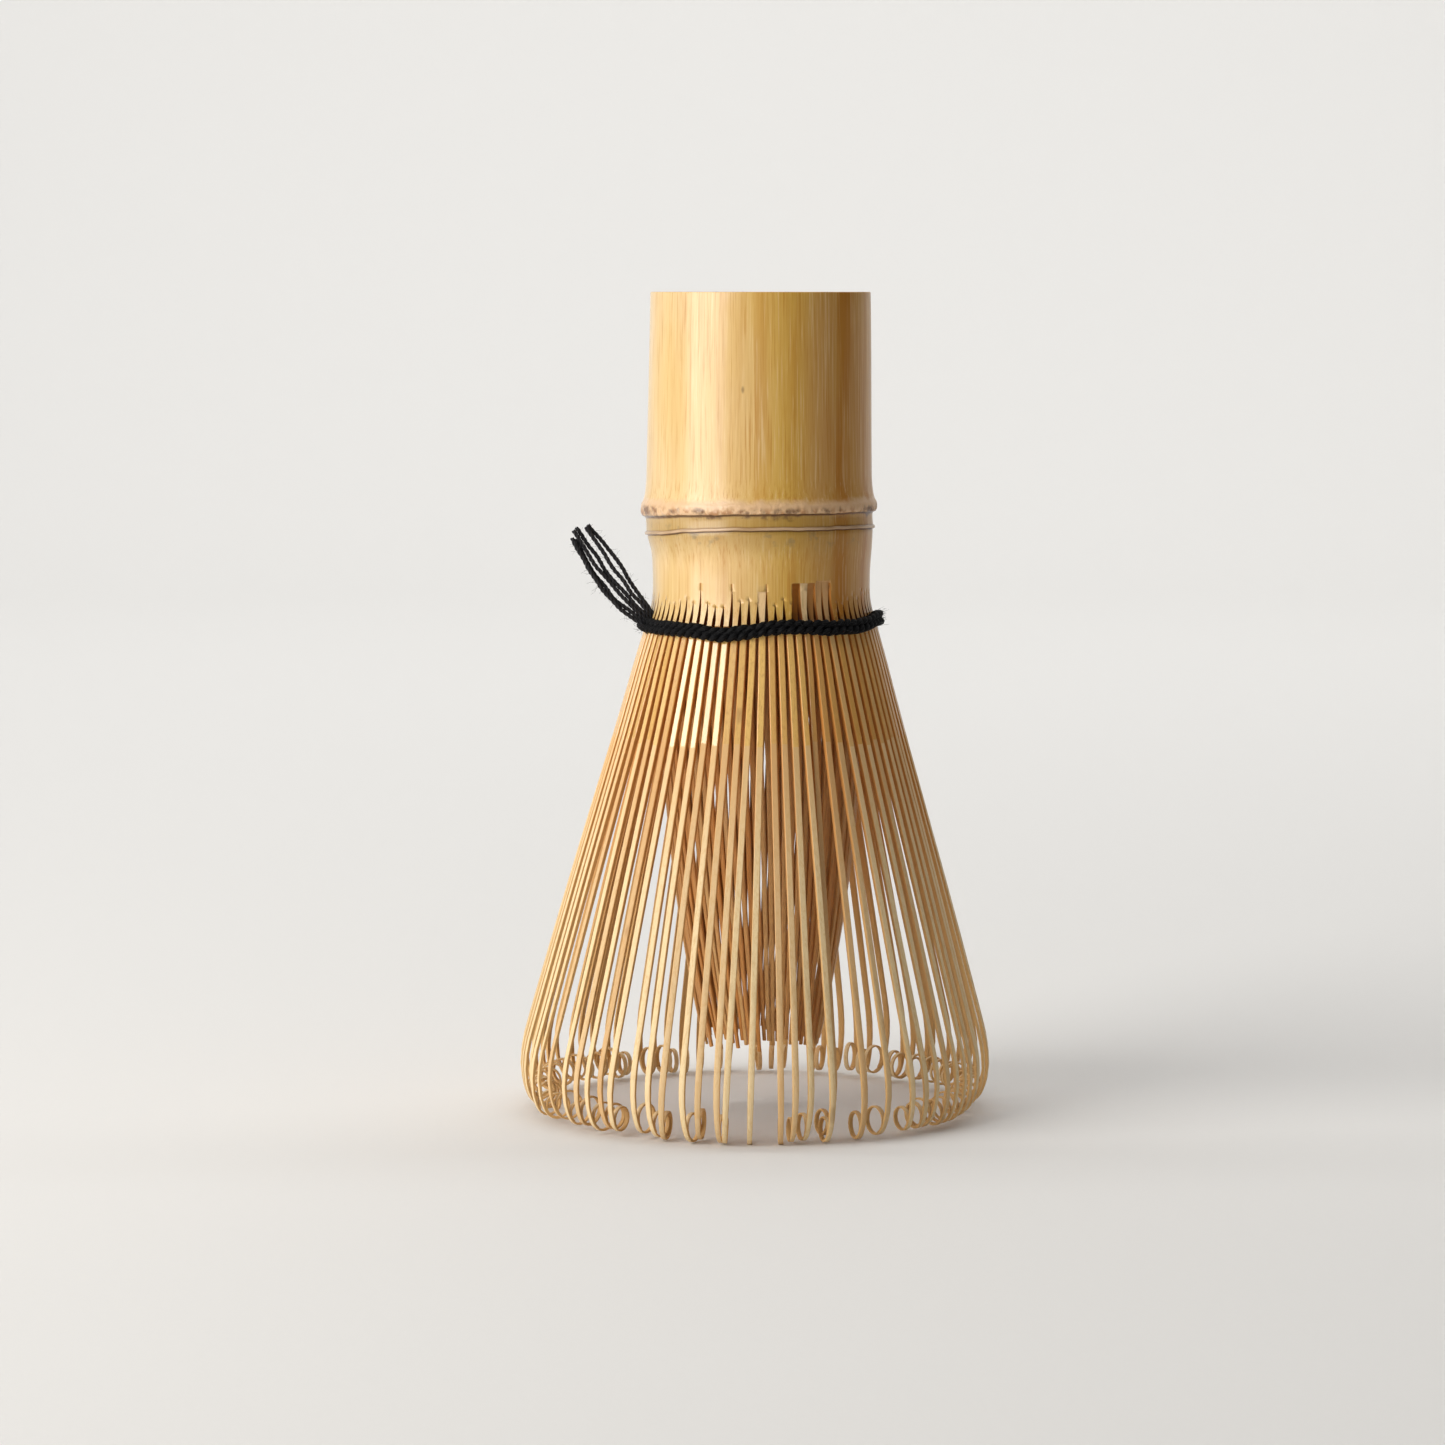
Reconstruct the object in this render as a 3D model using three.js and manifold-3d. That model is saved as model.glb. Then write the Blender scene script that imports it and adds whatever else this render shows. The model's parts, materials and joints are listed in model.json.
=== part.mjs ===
// Bamboo tea whisk (chasen), standing on its tine tips with the handle up.
// The handle and all the tines are split from one length of bamboo culm. The culm's wall is cut into
// fine strips: every other strip bends outwards as an outer tine, the strips between bend inwards as
// inner tines, and a black cotton thread is woven round the place where they part.
// The tines flex there, so each of the culm's sixteen splits is its own piece, inside and out.
// Millimetres, +Z up, origin on the axis at the level of the tine tips. The front faces -Y.
import * as THREE from "three";
import { mergeVertices } from "three/addons/utils/BufferGeometryUtils.js";
import Module from "manifold-3d";

const wasm = await Module();
wasm.setup();

// ---- driving dimensions ----

const SPLITS = 16; // the culm is first split into this many parts
const TINES_PER_SPLIT = 5; // outer tines in each split, with as many inner tines between them
const PIECE_GAP = 0.3; // clearance wherever two pieces meet

const HEAD_LENGTH = 67.7; // tine tips up to the line where the tines start to flex
const HANDLE_LENGTH = 44; // from there to the cut end of the handle

const CULM_RADIUS = 15.15; // outside, at the cut end
const CULM_WALL = 2.85;
const RIM_BEVEL = 0.3;

const NODE_HEIGHT = 14.7; // flex line to the middle of the node's ridge
const NODE_RIDGE_STANDS = 0.95; // ridge above the culm's outside
const NODE_RIDGE_HEIGHT = 2.4;
const SHEATH_SCAR_STANDS = 0.7; // the thin lip that the leaf sheath left below the ridge
const SHEATH_SCAR_HEIGHT = 0.7;
const SHEATH_SCAR_DROP = 3.5; // middle of the ridge down to the lip
const NODE_NECK_STANDS = 0.5; // culm between ridge and lip
const DIAPHRAGM_THICKNESS = 1.6; // the wall that closes the culm at its node
const WAIST_STANDS = -0.1; // narrowest place, below the node
const WAIST_HEIGHT = 5; // flex line up to the waist
const FLARE_STANDS = 0.6; // the split wall has opened this far at the flex line

const OUTER_TINE_WIDTH = 0.9;
const OUTER_TINE_ROOT_THICKNESS = 0.85;
const OUTER_TINE_TIP_THICKNESS = 0.42;
const OUTER_TINE_SPLAY = THREE.MathUtils.degToRad(15.8); // from straight down
const CURL_RADIUS = 1.6; // of the loop at each tip, to the middle of the tine
const CURL_LEAD = 10; // length over which a tine tightens from straight to its loop
const CURL_TURN = THREE.MathUtils.degToRad(345); // from the straight part to the end of the loop
const CURL_STEP = THREE.MathUtils.degToRad(55);
const BUNCHING = THREE.MathUtils.degToRad(0.75); // the most that a tine leans towards its neighbours

const INNER_TINE_WIDTH = 0.5;
const INNER_TINE_ROOT_THICKNESS = 0.6;
const INNER_TINE_TIP_THICKNESS = 0.4;
const INNER_TIP_RADIUS = 8; // of the bundle at its tips
const INNER_TIP_HEIGHT = 9; // above the outer tips
const INNER_BOW = 1.9; // how far the inner tines bow out from a straight line

const ROOT_HEIGHT = 1.6; // uncut strip that joins the tines of one split
const THREAD_DIAMETER = 0.6;
const THREAD_ROWS = 2;
const THREAD_ROW_HEIGHT = 1.6; // two turns of thread lie over each other in a row
const KNOT_RADIUS = 1;
const KNOT_AZIMUTH = THREE.MathUtils.degToRad(195);
const TAIL_LENGTH = 13.4;
const TAIL_RISE = THREE.MathUtils.degToRad(42); // as the ends leave the knot
const TAIL_SPREAD = 0.85; // between neighbouring ends, at the knot
const TAIL_COUNT = 6;

const ROUND_SEGMENTS = 40;

// ---- derived sizes ----

const TINE_COUNT = SPLITS * TINES_PER_SPLIT;
const TINE_PITCH = (2 * Math.PI) / TINE_COUNT;
const SPLIT_ANGLE = (2 * Math.PI) / SPLITS;
const FRONT = -Math.PI / 2;

const OUTER_ROOT_RADIUS = CULM_RADIUS + FLARE_STANDS; // outside of the outer tines at the flex line
const OUTER_ROOT_INSIDE = OUTER_ROOT_RADIUS - OUTER_TINE_ROOT_THICKNESS;
const SPACER_OUTSIDE = OUTER_ROOT_INSIDE - PIECE_GAP;
const SPACER_INSIDE = SPACER_OUTSIDE - THREAD_DIAMETER;
const INNER_ROOT_RADIUS = SPACER_INSIDE - PIECE_GAP; // outside of the inner tines at the flex line
const HEIGHT = HEAD_LENGTH + HANDLE_LENGTH;

// ---- materials ----

const bamboo = (color, roughness) => new THREE.MeshStandardMaterial({ color, roughness, metalness: 0 });
const culmSkin = bamboo(0xd9b36c, 0.32);
const outerTineWood = bamboo(0xdfb271, 0.5);
const innerTineWood = bamboo(0xc98f4e, 0.6);
const blackCotton = new THREE.MeshStandardMaterial({ color: 0x101014, roughness: 0.9, metalness: 0 });

// ---- helpers ----

// A closed geometry as a solid that can be joined to others.
function solidOf(geometry) {
  const plain = geometry.clone();
  plain.deleteAttribute("normal");
  plain.deleteAttribute("uv");
  const merged = mergeVertices(plain, 1e-4);
  return new wasm.Manifold(
    new wasm.Mesh({
      numProp: 3,
      vertProperties: merged.attributes.position.array,
      triVerts: new Uint32Array(merged.index.array),
    }),
  );
}

function geometryOf(solid) {
  const made = solid.getMesh();
  const geometry = new THREE.BufferGeometry();
  geometry.setAttribute("position", new THREE.BufferAttribute(made.vertProperties, made.numProp));
  geometry.setIndex(new THREE.BufferAttribute(made.triVerts, 1));
  geometry.computeVertexNormals();
  return geometry;
}

function named(name, geometry, material) {
  const mesh = new THREE.Mesh(geometry, material);
  mesh.name = name;
  return mesh;
}

const numbered = (word, index) => `${word}_${String(index + 1).padStart(2, "0")}`;

// ---- handle ----

// One length of culm with its node. The diaphragm closes it between the ridge and the sheath's scar.
function handle() {
  const bottom = HEAD_LENGTH + PIECE_GAP;
  const ridge = HEAD_LENGTH + NODE_HEIGHT;
  const scar = ridge - SHEATH_SCAR_DROP;
  const waist = HEAD_LENGTH + WAIST_HEIGHT;
  const bore = CULM_RADIUS - CULM_WALL;
  const floor = (ridge + scar) / 2 - DIAPHRAGM_THICKNESS / 2;
  const neck = CULM_RADIUS + NODE_NECK_STANDS;
  const lip = CULM_RADIUS + SHEATH_SCAR_STANDS;

  const profile = new THREE.Path();
  profile.moveTo(0, floor);
  profile.lineTo(bore, floor);
  profile.lineTo(INNER_ROOT_RADIUS - INNER_TINE_ROOT_THICKNESS, bottom);
  profile.lineTo(OUTER_ROOT_RADIUS, bottom);
  profile.quadraticCurveTo(CULM_RADIUS + WAIST_STANDS, bottom + 2, CULM_RADIUS + WAIST_STANDS, waist);
  profile.quadraticCurveTo(CULM_RADIUS + WAIST_STANDS, scar - 2, lip - 0.2, scar - SHEATH_SCAR_HEIGHT / 2);
  profile.lineTo(lip, scar);
  profile.lineTo(neck, scar + SHEATH_SCAR_HEIGHT / 2);
  profile.lineTo(neck, ridge - NODE_RIDGE_HEIGHT / 2);
  profile.lineTo(CULM_RADIUS + NODE_RIDGE_STANDS, ridge);
  profile.quadraticCurveTo(neck, ridge + NODE_RIDGE_HEIGHT / 2, CULM_RADIUS + 0.3, ridge + NODE_RIDGE_HEIGHT * 1.5);
  profile.lineTo(CULM_RADIUS, HEIGHT - RIM_BEVEL);
  profile.lineTo(CULM_RADIUS - RIM_BEVEL, HEIGHT);
  profile.lineTo(bore, HEIGHT);
  profile.lineTo(bore, floor + DIAPHRAGM_THICKNESS);
  profile.lineTo(0, floor + DIAPHRAGM_THICKNESS);

  const geometry = new THREE.LatheGeometry(profile.getPoints(3), ROUND_SEGMENTS);
  geometry.rotateX(Math.PI / 2);
  return named("handle", geometry, culmSkin);
}

// ---- tines ----

// A tine seen from its side: the outline round a line of stations. Each station has its place, its
// heading (0 is straight down, positive outwards) and the tine's thickness there.
function sideOutline(stations) {
  const side = (sign) =>
    stations.map(
      ({ x, y, heading, thickness }) =>
        new THREE.Vector2(
          x + (sign * Math.cos(heading) * thickness) / 2,
          y + (sign * Math.sin(heading) * thickness) / 2,
        ),
    );
  return new THREE.Shape([...side(1), ...side(-1).reverse()]);
}

// The outline given its width, upright in the plane of +X and Z and centred on it.
function tineGeometry(stations, width) {
  const geometry = new THREE.ExtrudeGeometry(sideOutline(stations), { depth: width, bevelEnabled: false });
  geometry.rotateX(Math.PI / 2);
  geometry.translate(0, width / 2, 0);
  return geometry;
}

// The curl from the end of the straight part: its curvature grows evenly over the lead and then holds.
function curlStations() {
  const step = 0.02;
  const stations = [];
  let [x, y, turn, along] = [0, 0, 0, 0];
  while (turn < CURL_TURN) {
    if (turn >= stations.length * CURL_STEP) stations.push({ x, y, turn, along });
    const heading = OUTER_TINE_SPLAY - turn;
    x += Math.sin(heading) * step;
    y -= Math.cos(heading) * step;
    turn += (step / CURL_RADIUS) * Math.min(1, along / CURL_LEAD + step);
    along += step;
  }
  return stations;
}

const ROOT_MIDDLE = HEAD_LENGTH - ROOT_HEIGHT / 2;

// The straight part reaches down far enough for the loop's lowest point to be at the level of the tips.
function outerTineStations() {
  const curl = curlStations();
  const curlLength = curl.at(-1).along;
  const drop = -Math.min(...curl.map(({ y }) => y)) + OUTER_TINE_TIP_THICKNESS / 2;
  const straight = (ROOT_MIDDLE - drop) / Math.cos(OUTER_TINE_SPLAY);
  const thickness = (along) =>
    THREE.MathUtils.lerp(
      OUTER_TINE_ROOT_THICKNESS,
      OUTER_TINE_TIP_THICKNESS,
      Math.min(1, along / (straight + curlLength / 2)),
    );
  const root = { x: OUTER_ROOT_RADIUS - OUTER_TINE_ROOT_THICKNESS / 2, y: ROOT_MIDDLE };
  const elbow = {
    x: root.x + straight * Math.sin(OUTER_TINE_SPLAY),
    y: root.y - straight * Math.cos(OUTER_TINE_SPLAY),
  };
  return [
    { ...root, heading: OUTER_TINE_SPLAY, thickness: thickness(0) },
    ...curl.map(({ x, y, turn, along }) => ({
      x: elbow.x + x,
      y: elbow.y + y,
      heading: OUTER_TINE_SPLAY - turn,
      thickness: thickness(straight + along),
    })),
  ];
}

function innerTineStations() {
  const root = new THREE.Vector2(INNER_ROOT_RADIUS - INNER_TINE_ROOT_THICKNESS / 2, ROOT_MIDDLE);
  const tip = new THREE.Vector2(INNER_TIP_RADIUS - INNER_TINE_TIP_THICKNESS / 2, INNER_TIP_HEIGHT);
  const bow = root.clone().lerp(tip, 0.5);
  bow.x += 2 * INNER_BOW;
  const line = new THREE.QuadraticBezierCurve(root, bow, tip);
  return [0, 0.5, 1].map((share) => {
    const { x, y } = line.getPoint(share);
    const along = line.getTangent(share);
    return {
      x,
      y,
      heading: Math.atan2(along.x, -along.y),
      thickness: THREE.MathUtils.lerp(INNER_TINE_ROOT_THICKNESS, INNER_TINE_TIP_THICKNESS, share),
    };
  });
}

// The strip of culm wall that the tines of one split grow from, centred on +X.
function rootStrip(outside, inside) {
  const half = SPLIT_ANGLE / 2 - PIECE_GAP / 2 / outside;
  const shape = new THREE.Shape();
  shape.absarc(0, 0, outside, -half, half, false);
  shape.absarc(0, 0, inside, half, -half, true);
  const geometry = new THREE.ExtrudeGeometry(shape, {
    depth: ROOT_HEIGHT,
    bevelEnabled: false,
    curveSegments: 2,
  });
  geometry.translate(0, 0, HEAD_LENGTH - ROOT_HEIGHT);
  return solidOf(geometry);
}

// One split's tines, fanned at the tine pitch. Each leans sideways about its root by lean(index).
function tineGroup(stations, width, root, lean) {
  let solid = root;
  const pivot = stations[0];
  for (let i = 0; i < TINES_PER_SPLIT; i++) {
    const geometry = tineGeometry(stations, width);
    geometry.translate(0, 0, -pivot.y);
    geometry.rotateX(lean(i));
    geometry.translate(0, 0, pivot.y);
    geometry.rotateZ((i - (TINES_PER_SPLIT - 1) / 2) * TINE_PITCH);
    solid = solid.add(solidOf(geometry));
  }
  return geometryOf(solid);
}

// Tines of one split bunch together a little, each split by its own amount.
const bunching = (split) => (BUNCHING * (1 + Math.sin(1.9 * split + 0.7))) / 2;
const towardsMiddle = (i) => (2 * i) / (TINES_PER_SPLIT - 1) - 1;

function outerTines(split) {
  const root = rootStrip(OUTER_ROOT_RADIUS, OUTER_ROOT_INSIDE);
  const lean = (i) => -bunching(split) * towardsMiddle(i);
  const mesh = named(
    numbered("outer_tines", split),
    tineGroup(outerTineStations(), OUTER_TINE_WIDTH, root, lean),
    outerTineWood,
  );
  mesh.rotation.z = FRONT + split * SPLIT_ANGLE;
  return mesh;
}

// The inner tines stand half a pitch round from the outer ones, because they are the strips between.
function innerTines(split) {
  const root = rootStrip(INNER_ROOT_RADIUS, INNER_ROOT_RADIUS - INNER_TINE_ROOT_THICKNESS);
  const mesh = named(
    numbered("inner_tines", split),
    tineGroup(innerTineStations(), INNER_TINE_WIDTH, root, () => 0),
    innerTineWood,
  );
  mesh.rotation.z = FRONT + split * SPLIT_ANGLE + TINE_PITCH / 2;
  return mesh;
}

// ---- thread ----

// Outside of the outer tines at a height near the flex line.
const tinesOutside = (z) =>
  OUTER_ROOT_RADIUS + Math.max(0, ROOT_MIDDLE - z) * Math.tan(OUTER_TINE_SPLAY);

const BAND_BOTTOM = HEAD_LENGTH - 0.7 - (THREAD_ROWS * THREAD_ROW_HEIGHT) / 2;

// A ring of thread with an oval section, its inside at the given radius.
function threadRing(name, inside, bottom, height) {
  const section = new THREE.Path();
  section.absellipse(inside + THREAD_DIAMETER / 2, bottom + height / 2, THREAD_DIAMETER / 2, height / 2, 0, 2 * Math.PI);
  const geometry = new THREE.LatheGeometry(section.getPoints(3), ROUND_SEGMENTS);
  geometry.rotateX(Math.PI / 2);
  return named(name, geometry, blackCotton);
}

// The rows lie on the outside of the tines, each a little wider than the one above it.
function threadRow(row) {
  const bottom = BAND_BOTTOM + row * THREAD_ROW_HEIGHT;
  const height = THREAD_ROW_HEIGHT - PIECE_GAP;
  return threadRing(numbered("thread_row", row), tinesOutside(bottom) + PIECE_GAP, bottom, height);
}

// The under-weave passes between the outer and the inner tines and keeps them apart.
function threadUnderWeave() {
  const height = 2 * THREAD_DIAMETER;
  return threadRing("thread_under_weave", SPACER_INSIDE, HEAD_LENGTH - 0.3 - height, height);
}

const KNOT_MIDDLE = new THREE.Vector3(
  tinesOutside(BAND_BOTTOM) + PIECE_GAP + THREAD_DIAMETER + PIECE_GAP + KNOT_RADIUS / 2,
  0,
  HEAD_LENGTH - 0.7,
);

// The knot is drawn flat against the rows.
function threadKnot() {
  const geometry = new THREE.SphereGeometry(KNOT_RADIUS, 12, 8);
  geometry.scale(0.5, 1, 1.1);
  geometry.translate(...KNOT_MIDDLE.toArray());
  return named("thread_knot", geometry, blackCotton);
}

// The thread's cut ends leave the knot in two layers of three, and fan out upwards.
function threadTail(index) {
  const lane = (index % 3) - 1;
  const layer = index < TAIL_COUNT / 2 ? -1 : 1;
  const out = new THREE.Vector3(Math.cos(TAIL_RISE), 0, Math.sin(TAIL_RISE));
  const across = new THREE.Vector3(-Math.sin(TAIL_RISE), 0, Math.cos(TAIL_RISE));
  const start = KNOT_MIDDLE.clone()
    .addScaledVector(out, KNOT_RADIUS + PIECE_GAP)
    .addScaledVector(across, lane * TAIL_SPREAD)
    .add(new THREE.Vector3(0, (layer * TAIL_SPREAD) / 2, 0));
  const bend = start.clone().addScaledVector(out, TAIL_LENGTH * 0.4);
  const end = bend
    .clone()
    .add(new THREE.Vector3(TAIL_LENGTH * 0.24, layer * 0.2, TAIL_LENGTH * 0.54))
    .addScaledVector(across, lane * TAIL_SPREAD * 0.5);
  const section = new THREE.Shape().absarc(0, 0, THREAD_DIAMETER / 2, 0, 2 * Math.PI, false);
  const geometry = new THREE.ExtrudeGeometry(section, {
    steps: 6,
    curveSegments: 4,
    bevelEnabled: false,
    extrudePath: new THREE.QuadraticBezierCurve3(start, bend, end),
  });
  return named(numbered("thread_tail", index), geometry, blackCotton);
}

// ---- the whisk ----

const whisk = new THREE.Group();
whisk.add(handle(), threadUnderWeave());
for (let split = 0; split < SPLITS; split++) whisk.add(outerTines(split), innerTines(split));
for (let row = 0; row < THREAD_ROWS; row++) whisk.add(threadRow(row));

const knotAndTails = new THREE.Group();
knotAndTails.rotation.z = KNOT_AZIMUTH;
knotAndTails.add(threadKnot());
for (let index = 0; index < TAIL_COUNT; index++) knotAndTails.add(threadTail(index));
whisk.add(knotAndTails);

export default whisk;
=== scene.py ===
"""Bamboo tea whisk: a hollow culm handle, splayed outer tines with curled tips, a bundle of inner tines
and a black cotton thread woven round the place where they part.

It is laid out as an add-on and run as a script. Lengths are in metres, +Z is up, the whisk stands on its
tine tips with its axis on Z, and its front faces -Y.
"""

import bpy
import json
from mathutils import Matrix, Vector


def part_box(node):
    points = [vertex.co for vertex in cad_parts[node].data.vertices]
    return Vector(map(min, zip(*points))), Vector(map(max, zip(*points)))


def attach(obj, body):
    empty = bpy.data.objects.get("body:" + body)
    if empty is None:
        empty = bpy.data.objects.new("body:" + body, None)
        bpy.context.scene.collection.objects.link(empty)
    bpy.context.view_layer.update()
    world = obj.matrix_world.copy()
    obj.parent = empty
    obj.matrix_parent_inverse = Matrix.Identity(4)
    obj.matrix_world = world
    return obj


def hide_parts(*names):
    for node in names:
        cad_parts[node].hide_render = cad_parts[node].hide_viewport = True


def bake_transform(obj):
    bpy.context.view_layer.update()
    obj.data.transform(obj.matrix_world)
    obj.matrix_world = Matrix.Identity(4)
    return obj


bl_info = {
    "name": "Bamboo Tea Whisk",
    "version": (1, 0, 0),
    "blender": (4, 5, 0),
    "location": "3D View > Sidebar > Tea Whisk",
    "description": "Models a bamboo tea whisk with its woven thread",
    "category": "Add Mesh",
}

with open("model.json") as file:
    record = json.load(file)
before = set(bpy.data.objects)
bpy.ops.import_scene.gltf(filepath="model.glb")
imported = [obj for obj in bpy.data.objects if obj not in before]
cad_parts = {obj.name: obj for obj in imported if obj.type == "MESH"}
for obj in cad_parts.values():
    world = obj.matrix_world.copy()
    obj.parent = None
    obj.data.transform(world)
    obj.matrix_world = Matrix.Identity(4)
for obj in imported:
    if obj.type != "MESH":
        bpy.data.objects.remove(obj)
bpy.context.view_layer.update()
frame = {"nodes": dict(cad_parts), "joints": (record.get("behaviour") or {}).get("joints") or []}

import json
import math
import random

import bmesh
import bpy
from bpy.props import FloatProperty, FloatVectorProperty, IntProperty, PointerProperty
from mathutils import Euler, Matrix, Vector, noise

# ---- places taken from the frame ----

(_, _, HANDLE_FOOT), (_, _, TOP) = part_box("handle")
KNOT_LOW, KNOT_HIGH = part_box("thread_knot")
BAND_LEVEL = (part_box("thread_row_01")[0][2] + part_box("thread_row_02")[1][2]) / 2
FLEX_HEIGHT = frame["joints"][0]["pos_m"][2]
SPLITS = sum(name.startswith("outer_tines") for name in frame["nodes"])
TAIL_ENDS = sum(name.startswith("thread_tail") for name in frame["nodes"])
TINES_PER_SPLIT = 5
TINE_COUNT = SPLITS * TINES_PER_SPLIT
TINE_PITCH = math.tau / TINE_COUNT
FRONT = -math.pi / 2
UP = Vector((0, 0, 1))

MM = 0.001


# ---- settings ----


def length(name, description, metres):
    return FloatProperty(name=name, description=description, default=metres, unit="LENGTH")


def angle(name, description, degrees):
    return FloatProperty(name=name, description=description, default=math.radians(degrees), subtype="ANGLE")


def power(name, description, watts):
    return FloatProperty(name=name, description=description, default=watts, unit="POWER")


def tint(name, description, colour):
    return FloatVectorProperty(name=name, description=description, default=colour, subtype="COLOR")


class CulmSettings(bpy.types.PropertyGroup):
    """Sizes and colours of the handle"""

    radius: length("Radius", "Outside of the culm at its cut end", 14.88 * MM)
    wall: length("Wall", "Thickness of the culm's wall", 2.59 * MM)
    ridge_height: length("Ridge Height", "Level of the node's ridge", FLEX_HEIGHT + 15.2 * MM)
    ridge_stands: length("Ridge Stands", "Ridge above the cut end's radius", 1.12 * MM)
    scar_height: length("Scar Height", "Level of the leaf sheath's scar", FLEX_HEIGHT + 12.4 * MM)
    scar_stands: length("Scar Stands", "Lip of the scar above the cut end's radius", 0.74 * MM)
    slit_height: length("Slit Height", "Usual top of the slits between the tines", FLEX_HEIGHT + 2.95 * MM)
    skin_colour: tint("Skin", "Golden skin of the culm", (0.72, 0.475, 0.19))
    # The amber is partly real streaks and partly painted shade on the handle's right side, away from the
    # key light.
    amber_and_shade_colour: tint("Amber", "Orange-brown streaks in the skin", (0.47, 0.18, 0.018))
    green_colour: tint("Green Gold", "Greenish part of the skin", (0.66, 0.40, 0.060))
    node_colour: tint("Node", "Dry skin on the node's ridge", (0.74, 0.49, 0.29))
    # Also painted shade: the dark lines in the grooves under the ridge and round the scar's lip, and the
    # dark band under the ridge.
    stain_and_shade_colour: tint("Stain", "Dark stains at the node and its scar", (0.12, 0.050, 0.020))
    wood_colour: tint("Wood", "Bare wood where the culm is cut", (0.80, 0.57, 0.30))


class TineSettings(bpy.types.PropertyGroup):
    """Sizes and colours of the tines"""

    outer_width: length("Outer Width", "Outer tine at the thread", 0.93 * MM)
    outer_thickness: length("Outer Thickness", "Outer tine at the thread", 0.80 * MM)
    tip_width: length("Tip Width", "Outer tine in its loop", 0.60 * MM)
    tip_thickness: length("Tip Thickness", "Outer tine in its loop", 0.26 * MM)
    shaved_from: length("Shaved From", "Level below which the skin is shaved off", 51.7 * MM)
    loop_radius: length("Loop Radius", "Middle of the loop at a tine's tip", 1.8 * MM)
    loop_turn: angle("Loop Turn", "How far a tine turns in its loop", 430)
    inner_width: length("Inner Width", "Inner tine at the thread", 0.92 * MM)
    inner_thickness: length("Inner Thickness", "Inner tine at the thread", 0.60 * MM)
    bow: length("Bow", "Inner tines bow out by this much", 1.9 * MM)
    skin_colour: tint("Skin", "Glossy skin near the thread", (0.82, 0.52, 0.165))
    shaved_colour: tint("Shaved", "Shaved wood below it", (0.78, 0.60, 0.34))
    # Partly painted shade: the dark orange of the tines' sides near the thread, where they crowd, and of
    # the inner tines inside the bundle.
    side_colour_and_shade: tint("Sides", "Split wood on the sides and the inside", (0.60, 0.245, 0.050))


class ThreadSettings(bpy.types.PropertyGroup):
    """Sizes and colour of the thread"""

    row_radius: length("Row Radius", "Radius of a row's twisted cord", 0.65 * MM)
    weave_radius: length("Weave Radius", "Radius of the cord between the tines", 0.5 * MM)
    end_radius: length("End Radius", "Radius of a cut end's twisted cord", 0.31 * MM)
    end_lay: length("End Lay", "Length of one turn of the twist in an end", 2.3 * MM)
    hairs: IntProperty(name="Hairs", description="Loose fibres on the thread", default=620)
    colour: tint("Colour", "Dyed cotton", (0.0018, 0.0018, 0.0022))
    # Partly painted highlight: the paler streaks along the plies' strands.
    faded_and_highlight_colour: tint("Faded", "Worn fibres on the outside of the plies", (0.017, 0.0175, 0.020))


class StageSettings(bpy.types.PropertyGroup):
    """Camera, light and floor"""

    camera_distance: length("Camera Distance", "From the whisk's axis", 0.655)
    camera_height: length("Camera Height", "Above the floor", 0.112)
    camera_aside: length("Camera Aside", "Camera to the left of the axis", 5.28 * MM)
    camera_pitch: angle("Camera Pitch", "Below the horizontal", 5.14)
    lens: FloatProperty(name="Lens", description="Focal length", default=119.9, unit="CAMERA")
    key_power: power("Key Power", "Softbox at the left", 8.0)
    fill_power: power("Fill Power", "Softbox at the right", 0.12)
    top_power: power("Top Power", "Softbox above", 2.2)
    backdrop_power: power("Backdrop Power", "Softbox that lights the paper behind", 31.0)
    floor_colour: tint("Floor", "Paper sweep", (0.74, 0.73, 0.71))


# ---- shape helpers ----


def smoothstep(low, high, value):
    share = min(1.0, max(0.0, (value - low) / (high - low)))
    return share * share * (3 - 2 * share)


def lerp(a, b, share):
    return a + (b - a) * share


def outward(azimuth):
    return Vector((math.cos(azimuth), math.sin(azimuth), 0))


def from_front(azimuth):
    """The angle from the front, right of it above nought."""
    return (azimuth - FRONT + math.pi) % math.tau - math.pi


def numbered(word, index):
    return f"{word}_{index + 1:02d}"


def placed(name, data):
    piece = bpy.data.objects.new(name, data)
    bpy.context.scene.collection.objects.link(piece)
    return piece


def finished(name, bm, material, crease):
    """Turns a bmesh into a piece, smooth but for the edges that turn by more than crease degrees."""
    limit = math.radians(crease)
    rim = bm.verts.layers.int.get("rim")
    for face in bm.faces:
        face.smooth = True
    for edge in bm.edges:
        on_rim = rim is not None and all(vert[rim] for vert in edge.verts)
        edge.smooth = len(edge.link_faces) == 2 and edge.calc_face_angle(math.pi) < limit and not on_rim
    mesh = bpy.data.meshes.new(name)
    bm.to_mesh(mesh)
    bm.free()
    mesh.materials.append(material)
    piece = placed(name, mesh)
    return piece


def extruded(bm, edges):
    """Extrudes edges where they are, and returns the new edges and their vertices."""
    grown = bmesh.ops.extrude_edge_only(bm, edges=edges)["geom"]
    verts = [item for item in grown if isinstance(item, bmesh.types.BMVert)]
    return [item for item in grown if isinstance(item, bmesh.types.BMEdge)], verts


def open_section(bm, corner):
    """The edges of a cut across a strip: a square with its corners taken off, one unit each way."""
    bmesh.ops.create_grid(bm, x_segments=1, y_segments=1, size=0.5)
    bmesh.ops.bevel(
        bm, geom=bm.verts[:], offset=corner, segments=1, profile=0.5, affect="VERTICES", material=-1
    )
    bmesh.ops.delete(bm, geom=bm.faces[:], context="FACES_ONLY")


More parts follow.
